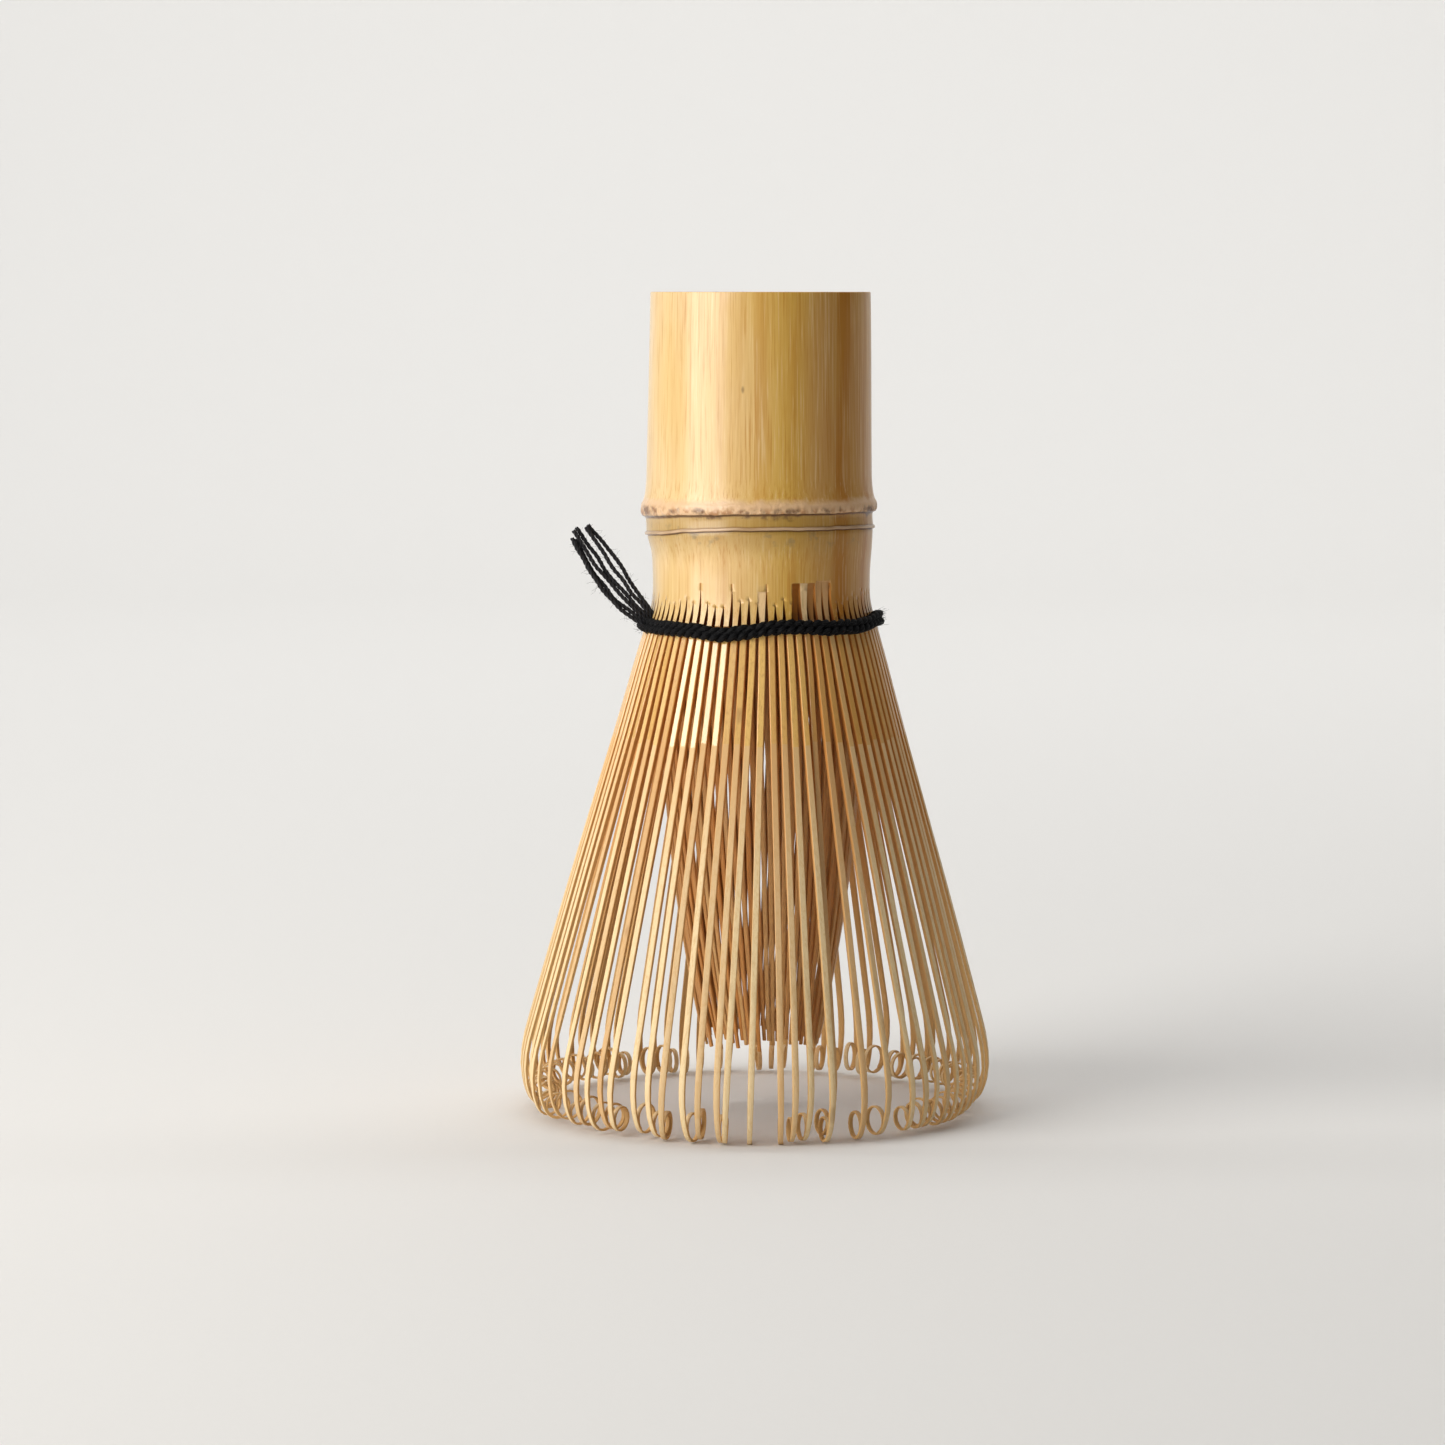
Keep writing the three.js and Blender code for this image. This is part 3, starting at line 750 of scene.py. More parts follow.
def slit_top(slit, settings):
    """How high the slit on the left of a tine reaches. Slits count from the front to the right, and reach
    higher on the far right."""
    if slit in TALL_SLITS:
        return FLEX_HEIGHT + TALL_SLITS[slit] * MM
    draw = random.Random(71 + slit).uniform(-0.8, 0.45)
    right = math.degrees(slit * TINE_PITCH)
    higher = 1.3 * smoothstep(45, 80, right) * smoothstep(150, 100, right)
    return settings.slit_height + (draw + higher) * MM


def slit_offsets(z, left, right):
    """Where a pitch's six columns stand at a height, as shares of the pitch, with the depth of each."""
    found = []
    for top in (left, right):
        share = min(1.0, max(0.0, (top - z) / (top - HANDLE_FOOT)))
        spread = smoothstep(top + 0.15 * MM, top + 2.4 * MM, z)
        half = lerp(SLIT_START + SLIT_HALF * share**0.85, 2 / COLUMNS, spread)
        wall = lerp(max(0.004, half - SLIT_STEEP), 1 / COLUMNS, spread)
        found += [wall, half, SLIT_DEPTH * share**0.6 if share > 0 else 0.0]
    wall, half, depth, far_wall, far_half, far_depth = found
    places = (0, wall, half, (half + 1 - far_half) / 2, 1 - far_half, 1 - far_wall)
    return places, (depth, depth * SLIT_WALL, 0, 0, 0, far_depth * SLIT_WALL)


def culm_wander(azimuth, z):
    """Slow unevenness of a grown culm, none of it near the tines."""
    grown = 0.06 * math.cos(2 * azimuth + 0.6) + 0.04 * math.cos(3 * azimuth - 1)
    around = (outward(azimuth) + UP * z * 22) * 1.7
    above = smoothstep(FLEX_HEIGHT + 4 * MM, FLEX_HEIGHT + 9 * MM, z)
    return (grown + 0.05 * noise.noise(around)) * above * MM


def node_wander(azimuth, z, settings):
    """How far the ridge and the scar run up and down round the culm."""
    scar, around = settings.scar_height, outward(azimuth)
    right = from_front(azimuth)
    slant = 0.8 * (math.cos(right - 0.61) - 0.82)
    kink = 0.2 * smoothstep(-0.98, -0.73, right) * smoothstep(0.5, -0.3, right)
    ragged = 0.10 * noise.noise(around * 7)
    near_scar = smoothstep(scar - 4 * MM, scar - 0.5 * MM, z)
    near_scar *= smoothstep(scar + 3.2 * MM, scar + 0.7 * MM, z)
    ridge = slant * 0.3 + 0.10 * (noise.noise(around * 4) + noise.noise(around * 15))
    near_ridge = smoothstep(scar + 0.9 * MM, scar + 2.4 * MM, z)
    near_ridge *= smoothstep(scar + 8 * MM, scar + 4.5 * MM, z)
    return ((slant + kink + ragged) * near_scar + ridge * near_ridge) * MM


def ridge_wrinkle(azimuth, z, settings):
    """Fine wrinkles across the ridge."""
    near = 1 - min(1.0, abs(z - settings.ridge_height + 0.3 * MM) / (0.9 * MM))
    return 0.17 * MM * noise.noise(outward(azimuth) * 34 + UP * z * 1500) * near


def culm_lean(z, settings):
    """How far the culm's axis stands aside at a height."""
    scar, ridge = settings.scar_height, settings.ridge_height
    return (0.18 * smoothstep(ridge, TOP, z) - 0.34 * smoothstep(scar - 4 * MM, ridge, z)) * MM


def chip_at(slit, place):
    """The chip that a column of the tine to the right of a slit lies in, if any."""
    if place:
        return CHIPS.get(slit)
    both = [CHIPS[i] for i in (slit - 1, slit) if i in CHIPS]
    return min(both, key=lambda chip: chip[1]) if len(both) == 2 else None


def handle_mesh(settings):
    """The culm as a turned shape, before its slits are cut."""
    bm = bmesh.new()
    outline = culm_outline(settings)
    kind = bm.verts.layers.int.new("kind")
    points = []
    for radius, z, what in outline:
        points.append(bm.verts.new((radius, 0, z)))
        points[-1][kind] = what
    edges = [bm.edges.new(pair) for pair in zip(points, points[1:])]
    steps = TINE_COUNT * COLUMNS
    bmesh.ops.spin(
        bm, geom=points + edges, cent=(0, 0, 0), axis=(0, 0, 1), angle=math.tau, steps=steps, use_merge=True
    )
    bmesh.ops.remove_doubles(bm, verts=bm.verts[:], dist=0.001 * MM)
    bmesh.ops.recalc_face_normals(bm, faces=bm.faces[:])
    return bm


def signed_slit(slit):
    """Slits number from the front, those on the left below nought."""
    return (slit + TINE_COUNT // 2) % TINE_COUNT - TINE_COUNT // 2


def shape_handle(bm, settings):
    """Cuts the slits and chips, and gives the culm its grown unevenness."""
    kind = bm.verts.layers.int["kind"]
    lip, groove_shade, node = (bm.verts.layers.float.new(name) for name in ("lip", "groove_shade", "node"))
    rim, split, chipped = (bm.verts.layers.int.new(name) for name in ("rim", "split", "chipped"))
    for vert in bm.verts:
        radius, z = math.hypot(vert.co.x, vert.co.y), vert.co.z
        if radius < 1 * MM:
            continue
        azimuth = math.atan2(vert.co.y, vert.co.x)
        rise = 0.0
        if vert[kind] >= SKIN:
            vert[lip] = float(vert[kind] == LIP)
            vert[node] = float(vert[kind] == NODE)
            # The grooves get painted shade, half as dark in the shallow one.
            vert[groove_shade] = {GROOVE: 1.0, SHALLOW_GROOVE: 0.5}.get(vert[kind], 0.0)
            column = round((azimuth - FRONT + TINE_PITCH / 2) / TINE_PITCH * COLUMNS)
            slit, place = divmod(column, COLUMNS)
            slit, next_slit = signed_slit(slit), signed_slit(slit + 1)
            tops = slit_top(slit, settings), slit_top(next_slit, settings)
            offsets, depths = slit_offsets(z, *tops)
            azimuth += (offsets[place] - place / COLUMNS) * TINE_PITCH
            radius -= depths[place]
            in_slit = z < tops[place >= TOOTH]
            vert[split] = TOOTH_MARK if place == TOOTH else int(in_slit)
            vert[rim] = int(place in (TOOTH - 1, TOOTH + 1) and in_slit)
            chip = chip_at(slit, place)
            if chip and z < FLEX_HEIGHT + LEDGES[chip[0]] - 0.01 * MM:
                radius -= max(0.0, chip[1] * MM - depths[place])
                vert[chipped] = 1 + round(chip[2] * 100)
            if FLEX_HEIGHT + LEDGES[1] - 0.1 * MM < z < FLEX_HEIGHT + LEDGES[0] + 0.1 * MM:
                rise = 0.09 * MM * noise.noise(Vector((azimuth * 90, 0, 3)))
            radius += ridge_wrinkle(azimuth, z, settings)
            rise += node_wander(azimuth, z, settings)
        radius += culm_wander(azimuth, z) if vert[kind] >= CUT_END else 0.0
        vert.co = outward(azimuth) * radius + UP * (z + rise)
        vert.co.x += culm_lean(z, settings)


def mark_faces(bm):
    """Tells skin from cut wood, and marks the faces in the slits and the chips."""
    kind, split, chipped = (bm.verts.layers.int[name] for name in ("kind", "split", "chipped"))
    slit, bare, tone = (bm.faces.layers.float.new(name) for name in ("slit", "bare", "bare_tone_and_shade"))
    for face in bm.faces:
        face.material_index = int(min(vert[kind] for vert in face.verts) < SKIN)
        chip = max(vert[chipped] for vert in face.verts)
        face[bare] = float(chip > 0)
        face[tone] = max(0, chip - 1) / 100
        face[slit] = float(sum(vert[split] for vert in face.verts) >= 2)


class WHISK_OT_handle(bpy.types.Operator):
    """Model the culm handle with its node, slits and cut end"""

    bl_idname = "whisk.handle"
    bl_label = "Handle"

    def execute(self, context):
        settings = context.scene.whisk_culm
        bm = handle_mesh(settings)
        shape_handle(bm, settings)
        mark_faces(bm)
        piece = finished("culm_handle", bm, culm_skin(settings), crease=48)
        piece.data.materials.append(cut_wood(settings))
        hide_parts("handle")
        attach(piece, "handle")
        return {"FINISHED"}


# ---- tines ----

CULM_OUTSIDE = 15.62 * MM  # where the tines leave it
TINE_START = FLEX_HEIGHT - 0.55 * MM
MIDDLE_TINE = TINES_PER_SPLIT // 2
TINE_CREASE = 28  # degrees

# An outer tine's heading in degrees from straight down, by the share of its straight part that it has run.
HEADINGS = ((0.0, 14.0), (0.06, 17.0), (0.16, 15.6), (0.35, 16.6), (0.55, 16.4), (0.8, 15.8), (1.0, 15.4))
SHARES = sorted({i / 16 for i in range(1, 17)} | {0.02, 0.045, 0.09})
BEND_RUN = 9.5 * MM  # length of the gentle bend before the loop
BEND = 120.0  # curvature at its end, per metre
TIGHTENING = 1.6 * MM  # length over which the bend becomes the loop
BEND_STEP, LOOP_STEP = 1.9 * MM, 0.6 * MM
TOP_SHARE, END_SHARE = 0.90, 0.9  # of the width, where it leaves the culm and where the bend starts
SHAVED_SHARE = 0.92  # of the thickness, below the knife's line
END_THICKNESS = 1.7  # of the tip's, where the bend starts
CAGE_LEAN, CAGE_LEANS_TO = 0.75, math.pi  # degrees by which all outer tines lean, and the azimuth of that
SIDES_RISE = 0.8  # mm, of the loops at the left and right

# Corners of the section that stand on its +Y side, in the order that the bevel leaves its eight corners.
SECTION_CORNERS = 8
OUTER_CORNERS = (4, 6)

# Degrees to the right by which the front tines lean, counted from the front to the right.
LEANS = {
    -2: -0.2, -1: -1.5, 0: -0.9, 1: 0.3, 2: -0.2, 3: -0.1, 4: -0.1, 6: -0.5, 7: 0.6, 8: 2.1, 9: 2.4,
    10: 2.1, 11: 1.7, 12: 1.2, 13: 0.8,
}
# A tine right of the front that has slipped behind its neighbour.
STRAYS = {5: {"splay": math.radians(-1.7), "lean": math.radians(-2.2), "tone": 1.0, "wide": 0.85}}

INNER_STEPS = 12
INNER_TIP_WIDTH, INNER_TIP_THICKNESS = 0.54, 0.6  # of what they are at the thread
INNER_SLANT = 1.3  # mm to the side at the tip


def axes_along(along):
    """A tine's frame: X runs across the tine, Y outwards and Z along it."""
    across = Vector((0, 1, 0))
    return Matrix((across, along.cross(across), along)).transposed()


def station(place, axes, width, thickness):
    return Matrix.Translation(place) @ (axes @ Matrix.Diagonal((width, thickness, 1))).to_4x4()


class Walker:
    """A point that walks along a tine's middle and turns as it goes."""

    def __init__(self, radius, height, heading):
        self.place = Vector((radius, 0, height))
        self.axes = axes_along(Vector((math.sin(heading), 0, -math.cos(heading))))
        self.stations = []

    def mark(self, width, thickness):
        self.stations.append(station(self.place, self.axes, width, thickness))

    def turn(self, inwards=0.0, sideways=0.0, twist=0.0):
        self.axes = self.axes @ Euler((inwards, sideways, twist)).to_matrix()

    def walk(self, length):
        self.place = self.place + self.axes.col[2] * length


def heading_at(share):
    for (low, first), (high, second) in zip(HEADINGS, HEADINGS[1:]):
        if share <= high:
            return math.radians(lerp(first, second, smoothstep(low, high, share)))
    return math.radians(HEADINGS[-1][1])


def walk_straight(walker, settings, straight, habit):
    """The straight part, which leans and bends a little of its own."""
    before = 0.0
    for share in SHARES:
        step = share - before
        leaning = habit["lean"] * (smoothstep(0, 0.2, share) - smoothstep(0, 0.2, before))
        walker.turn(heading_at(before) - heading_at(share), leaning)
        walker.turn(sideways=habit["bend"] * step * math.sin(math.tau * share), twist=habit["twist"] * step)
        walker.walk(step * straight)
        thick = lerp(settings.outer_thickness, settings.tip_thickness * END_THICKNESS, share)
        thick *= SHAVED_SHARE if walker.place.z < settings.shaved_from else 1
        wide = settings.outer_width * lerp(habit["wide"], END_SHARE, share)
        walker.mark(wide * lerp(TOP_SHARE / habit["wide"], 1, smoothstep(0, 0.05, share)), thick)
        before = share


def walk_loop(walker, settings, habit):
    """The gentle bend, and the loop that it tightens into."""
    turned, run = 0.0, 0.0
    while turned < habit["loop_turn"]:
        step = BEND_STEP if run < BEND_RUN - BEND_STEP else LOOP_STEP
        run += step
        gentle = BEND * min(1.0, run / BEND_RUN)
        curve = gentle + (1 / habit["loop"] - BEND) * smoothstep(BEND_RUN, BEND_RUN + TIGHTENING, run)
        turn = step * curve * (1 + 0.08 * smoothstep(BEND_RUN, 2 * BEND_RUN, run))
        walker.turn(inwards=turn / 2, sideways=habit["drift"] * turn / habit["loop_turn"])
        walker.walk(step)
        walker.turn(inwards=turn / 2)
        turned += turn
        share = smoothstep(0.3 * BEND_RUN, BEND_RUN + 2 * TIGHTENING, run)
        width = lerp(settings.outer_width * END_SHARE, settings.tip_width, share)
        walker.mark(width, settings.tip_thickness * lerp(END_THICKNESS, 1, share))


def outer_tine_walk(settings, straight, habit):
    """Stations of one outer tine, from inside the handle's tooth to the end of its loop."""
    walker = Walker(CULM_OUTSIDE - settings.outer_thickness / 2, TINE_START, heading_at(0) + habit["splay"])
    walker.mark(settings.outer_width * TOP_SHARE, settings.outer_thickness)
    walk_straight(walker, settings, straight, habit)
    walk_loop(walker, settings, habit)
    return walker.stations


def lowest(stations):
    return min(here.translation.z - (abs(here.col[0].z) + abs(here.col[1].z)) / 2 for here in stations)


def tine_habit(settings, tine):
    """What makes one outer tine differ from the next. Those at the sides of a split lean to its middle."""
    draw = random.Random(409 + tine)
    across = ((tine + MIDDLE_TINE) % TINES_PER_SPLIT - MIDDLE_TINE) / MIDDLE_TINE
    gathered = -across * draw.uniform(0.0, 0.9) + draw.uniform(-0.45, 0.45) * (1 - across * across)
    aside = LEANS.get(tine, gathered)
    from_lean = FRONT + tine * TINE_PITCH - CAGE_LEANS_TO
    habit = {
        "splay": math.radians(draw.uniform(-0.25, 0.25) + CAGE_LEAN * math.cos(from_lean)),
        "lean": math.radians(aside - CAGE_LEAN * math.sin(from_lean)),
        "wide": draw.uniform(0.92, 1.06),
        "bend": math.radians(draw.uniform(-2.0, 2.0)),
        "twist": math.radians(draw.uniform(-9, 9)),
        "drift": math.radians(draw.uniform(-11, 11)),
        "loop": settings.loop_radius * draw.uniform(0.88, 1.14),
        "loop_turn": settings.loop_turn + math.radians(draw.uniform(-40, 40)),
        "tip": (draw.uniform(0, 1) ** 2 * 0.7 + SIDES_RISE * math.sin(tine * TINE_PITCH) ** 2) * MM,
        "tone": draw.random(),
    }
    habit.update(STRAYS.get(tine, {}))
    return habit


def outer_tine(settings, tine):
    """Returns the mesh and tone of one outer tine. The length of its straight part brings its loop down to
    the level where its tip stands."""
    habit = tine_habit(settings, tine)
    straight = (TINE_START - 10 * MM) / math.cos(math.radians(16))
    for _ in range(3):
        stations = outer_tine_walk(settings, straight, habit)
        straight += (lowest(stations) - habit["tip"]) / math.cos(math.radians(15))
    stations = outer_tine_walk(settings, straight, habit)
    return tine_mesh(stations, FRONT + tine * TINE_PITCH, 0.12), habit["tone"]


def inner_tine(settings, tine):
    """Returns the mesh and tone of one inner tine, bowed out and then in towards its tip."""
    draw = random.Random(913 + tine)
    stagger = 0.28 * MM * (tine % 2)
    root = Vector((CULM_OUTSIDE - 1.75 * MM - stagger - settings.inner_thickness / 2, TINE_START))
    tip = Vector((7.7 * MM + draw.uniform(-0.35, 0.3) * MM, 9.4 * MM + draw.uniform(-0.5, 1.2) * MM))
    middle = root.lerp(tip, 0.5) + Vector((2 * settings.bow, 0))
    stations = []
    for i in range(INNER_STEPS + 1):
        t = i / INNER_STEPS
        here = (1 - t) ** 2 * root + 2 * t * (1 - t) * middle + t * t * tip
        going = (2 * (1 - t) * (middle - root) + 2 * t * (tip - middle)).normalized()
        side = (draw.uniform(-0.05, 0.05) + INNER_SLANT * t) * MM * smoothstep(0.05, 0.4, t)
        width = settings.inner_width * lerp(1, INNER_TIP_WIDTH, t)
        thickness = settings.inner_thickness * lerp(1, INNER_TIP_THICKNESS, t)
        axes = axes_along(Vector((going.x, 0, going.y)))
        stations.append(station(Vector((here.x, side, here.y)), axes, width, thickness))
    return tine_mesh(stations, FRONT + (tine + 0.5) * TINE_PITCH, 0.2), draw.random()


def tine_mesh(stations, azimuth, corner):
    """One tine's mesh, turned to its place round the whisk."""
    bm = bmesh.new()
    open_section(bm, corner)
    swept(bm, stations)
    bmesh.ops.rotate(bm, cent=(0, 0, 0), matrix=Matrix.Rotation(azimuth, 3, "Z"), verts=bm.verts[:])
    mesh = bpy.data.meshes.new("tine")
    bm.to_mesh(mesh)
    bm.free()
    return mesh


def joined_tines(meshes, tones):
    """The tines of one split as one bmesh. tone tells them apart, and skin is 1 on their outer faces."""
    bm = bmesh.new()
    tone, skin = bm.verts.layers.float.new("tone"), bm.verts.layers.float.new("skin")
    for mesh, value in zip(meshes, tones):
        first = len(bm.verts)
        bm.from_mesh(mesh)
        bm.verts.ensure_lookup_table()
        for index in range(first, len(bm.verts)):
            bm.verts[index][tone] = value
            bm.verts[index][skin] = float((index - first) % SECTION_CORNERS in OUTER_CORNERS)
        bpy.data.meshes.remove(mesh)
    return bm


def model_tines(layer, one_tine, material, settings):
    """Makes a layer's tines, five to each split, in the place of its nodes. The thread holds them."""
    for split in range(SPLITS):
        tines = range(split * TINES_PER_SPLIT - MIDDLE_TINE, split * TINES_PER_SPLIT + MIDDLE_TINE + 1)
        bm = joined_tines(*zip(*(one_tine(settings, tine) for tine in tines)))
        body = numbered(layer + "_tines", split)
        piece = finished("bamboo_" + body, bm, material, TINE_CREASE)
        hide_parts(body)
        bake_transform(piece)


class WHISK_OT_outer_tines(bpy.types.Operator):
    """Model the outer tines, five to each split, with their curled tips"""

    bl_idname = "whisk.outer_tines"
    bl_label = "Outer Tines"

    def execute(self, context):
        settings = context.scene.whisk_tines
        model_tines("outer", outer_tine, outer_tine_bamboo(settings), settings)
        return {"FINISHED"}


class WHISK_OT_inner_tines(bpy.types.Operator):
    """Model the inner tines, five to each split"""

    bl_idname = "whisk.inner_tines"
    bl_label = "Inner Tines"

    def execute(self, context):
        settings = context.scene.whisk_tines
        model_tines("inner", inner_tine, inner_tine_bamboo(settings), settings)
        return {"FINISHED"}


# ---- thread ----

ROW_FULL = 1.22  # how much the plies of a row swell into each other
ROW_LIFT = 0.62  # of a row's radius, from the band's middle to the row's
ROW_SEAT = 0.66  # of a row's radius, from the tines' outside to the row's middle
RING_POINTS = 960
TINE_SLOPE = math.tan(math.radians(16))  # of the tines' outside near the thread

# Where the band sags or rises: degrees from the front, height in mm, and degrees that it reaches to.
BAND_DIPS = (
    (-19, -0.75, 13),
    (-52, -0.30, 26),
    (80, 0.75, 16),
    (14, 0.35, 14),
    (150, 0.4, 30),
    (-140, -0.3, 30),
)

KNOT_AZIMUTH = math.atan2(KNOT_LOW[1] + KNOT_HIGH[1], KNOT_LOW[0] + KNOT_HIGH[0])
KNOT_POINTS = 150
KNOT_TURNS = 9
END_POINTS = 64

# The cut ends, in the plane of the knot and the axis, in millimetres: where each stops, as outwards and up
# from the knot, how far it stands to the side, and how much it bows on the way.
ENDS = (
    (10.6, 11.9, 0.30, 0.9),
    (10.0, 11.7, -0.35, 0.75),
    (10.5, 12.8, 0.15, 0.25),
    (9.8, 13.3, -0.30, 0.1),
    (8.9, 13.2, 0.35, -0.35),
    (8.3, 13.6, -0.15, -0.75),
)

HAIR_POINTS = 4
HAIR_RADIUS, HAIR_TIP_RADIUS = 0.018 * MM, 0.009 * MM
HAIRS_ON_BAND = 0.55


def ply_curve(name, plies, sides):
    """Round plies as one curve. A ply is a list of (place, radius), and whether its ends join."""
    curve = bpy.data.curves.new(name, "CURVE")
    curve.dimensions = "3D"
    curve.bevel_depth = 1.0
    curve.bevel_resolution = max(0, sides // 2 - 2)
    curve.use_fill_caps = True
    for points, closed in plies:
        spline = curve.splines.new("POLY")
        spline.points.add(len(points) - 1)
        for point, (place, radius) in zip(spline.points, points):
            point.co = (*place, 1)
            point.radius = radius
        spline.use_cyclic_u = closed
    return curve


def thread_piece(name, plies, material, sides=8):
    """Cotton plies as one mesh, with a map that runs along and round each ply."""
    curve = ply_curve(name, plies, sides)
    holder = placed(name, curve)
    mesh = bpy.data.meshes.new_from_object(holder.evaluated_get(bpy.context.evaluated_depsgraph_get()))
    mesh.name = name
    bpy.data.objects.remove(holder)
    bpy.data.curves.remove(curve)
    mesh.uv_layers[0].name = "ply"
    mesh.materials.clear()
    mesh.materials.append(material)
    mesh.polygons.foreach_set("use_smooth", [True] * len(mesh.polygons))
    piece = placed(name, mesh)
    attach(piece, "handle")
    return piece


def twisted(line, radius, plies, turns, phase=0.0, closed=False, full=1.06):
    """Plies twisted round a line of (place, out, up), out and up being square to it. radius is the cord's,
    and full is how much the plies swell into each other."""
    ply_radius = radius / (1 + 1 / math.sin(math.pi / plies)) * full
    steps = len(line) if closed else len(line) - 1
    made = []
    for ply in range(plies):
        points = []
        for i, (place, out, up) in enumerate(line):
            angle = math.tau * (turns * i / steps + ply / plies) + phase
            swing = (out * math.cos(angle) + up * math.sin(angle)) * (radius - ply_radius)
            points.append((place + swing, ply_radius))
        made.append((points, closed))
    return made


def band_height(azimuth):
    """Middle of the band at an azimuth."""
    right = math.degrees(from_front(azimuth))
    height = BAND_LEVEL + 0.1 * MM
    for at, rise, reach in BAND_DIPS:
        away = (right - at + 180) % 360 - 180
        height += rise * MM * math.exp(-((away / reach) ** 2))
    return height


def tine_outside(z):
    """Outside of the outer tines near the thread."""
    return CULM_OUTSIDE + max(0.0, TINE_START - z) * TINE_SLOPE


def ring_line(place_at):
    """A closed line round the axis. place_at gives the radius and the height at an azimuth."""
    line = []
    for i in range(RING_POINTS):
        azimuth = math.tau * i / RING_POINTS
        radius, z = place_at(azimuth)
        out = outward(azimuth)
        line.append((out * radius + UP * z, out, UP))
    return line


def row_line(lift, radius):
    """A row's middle. It stands out over each tine, dives between them, and wobbles a little."""

    def place_at(azimuth):
        wobble = noise.noise(outward(azimuth) * 9 + UP * lift * 4000)
        z = band_height(azimuth) + lift + 0.16 * MM * wobble
        over = 0.12 * MM * math.cos(TINE_COUNT * (azimuth - FRONT))
        return tine_outside(z) + radius * ROW_SEAT + over + 0.05 * MM * wobble, z

    return ring_line(place_at)


def weave_line():
    """The turn between the outer and the inner tines."""
    low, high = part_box("thread_under_weave")

    def place_at(azimuth):
        return high[0] - 0.35 * MM + 0.16 * MM * math.cos(TINE_COUNT * azimuth), (low[2] + high[2]) / 2

    return ring_line(place_at)


class WHISK_OT_thread_band(bpy.types.Operator):
    """Model the rows of thread round the tines and the weave between them"""

    bl_idname = "whisk.thread_band"
    bl_label = "Thread Band"

    def execute(self, context):
        settings = context.scene.whisk_thread
        material = black_cotton(settings)
        radius = settings.row_radius
        turns = TINE_COUNT // 2
        for row in range(2):
            line = row_line((row * 2 - 1) * radius * ROW_LIFT, radius)
            plies = twisted(line, radius, 2, turns, phase=1.2 * row, closed=True, full=ROW_FULL)
            piece = thread_piece(numbered("cotton_row", row), plies, material)
            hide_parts(numbered("thread_row", row))
        plies = twisted(weave_line(), settings.weave_radius, 2, turns, closed=True)
        piece = thread_piece("cotton_under_weave", plies, material, sides=6)
        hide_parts("thread_under_weave")
        return {"FINISHED"}


def knot_place():
    """The knot lies on the outside of the band. Returns its middle and the ways outwards and sideways."""
    z, out = band_height(KNOT_AZIMUTH), outward(KNOT_AZIMUTH)
    return out * (tine_outside(z) + 0.15 * MM) + UP * z, out, UP.cross(out)


def knot_plies(radius):
    """A small trefoil of twisted cord, pulled flat against the band."""
    centre, out, along = knot_place()
    line = []
    for i in range(KNOT_POINTS):
        t = math.tau * i / KNOT_POINTS
        x, y, depth = math.sin(t) + 2 * math.sin(2 * t), math.cos(t) - 2 * math.cos(2 * t), -math.sin(3 * t)
        place = centre + (along * x * 0.30 + UP * y * 0.36 + out * depth * 0.34) * MM
        line.append((place, out, UP))
    return twisted(line, radius * 0.95, 2, KNOT_TURNS, closed=True)


def end_line(index):
    """The line of one cut end: out of the knot at a low slant and then steeper, a little wavy."""
    centre, out, side = knot_place()
    outwards, rise, aside, bow = ENDS[index]
    spread = index / (TAIL_ENDS - 1)
    start = centre + (out * lerp(0.2, -0.6, spread) + UP * lerp(-0.4, 1.4, spread)) * MM
    finish = centre + (out * outwards + UP * rise + side * aside) * MM
    first = start.lerp(finish, 0.33) + (out * (0.55 + bow) - UP * (0.45 + bow * 0.8)) * MM
    second = start.lerp(finish, 0.67) + (out * (0.45 + bow) - UP * (0.3 + bow * 0.8)) * MM
    line, before = [], None
    for i, place in enumerate([start, *bezier(start, first, second, finish, END_POINTS)]):
        t = i / END_POINTS
        seed = Vector((index * 7.3, t * 5.5, 0.4))
        swing = noise.noise(seed) * (out - UP * 0.7) + noise.noise(seed + UP * 9) * side
        place = place + swing * 0.21 * MM * smoothstep(0, 0.2, t)
        heading = (place - before).normalized() if before else (out + UP).normalized()
        across = heading.cross(side).normalized()
        line.append((place, across, heading.cross(across)))
        before = place
    return line


def hair(root, heading, length, draw):
    """One loose fibre, as a ply that bends as it goes."""
    heading = heading.normalized()
    last = HAIR_POINTS - 1
    points = []
    for i in range(HAIR_POINTS):
        points.append((root.copy(), lerp(HAIR_RADIUS, HAIR_TIP_RADIUS, i / last)))
        stray = Vector((draw.uniform(-1, 1), draw.uniform(-1, 1), draw.uniform(-1, 1)))
        heading = (heading + stray * 0.42).normalized()
        root = root + heading * length / last
    return points, False


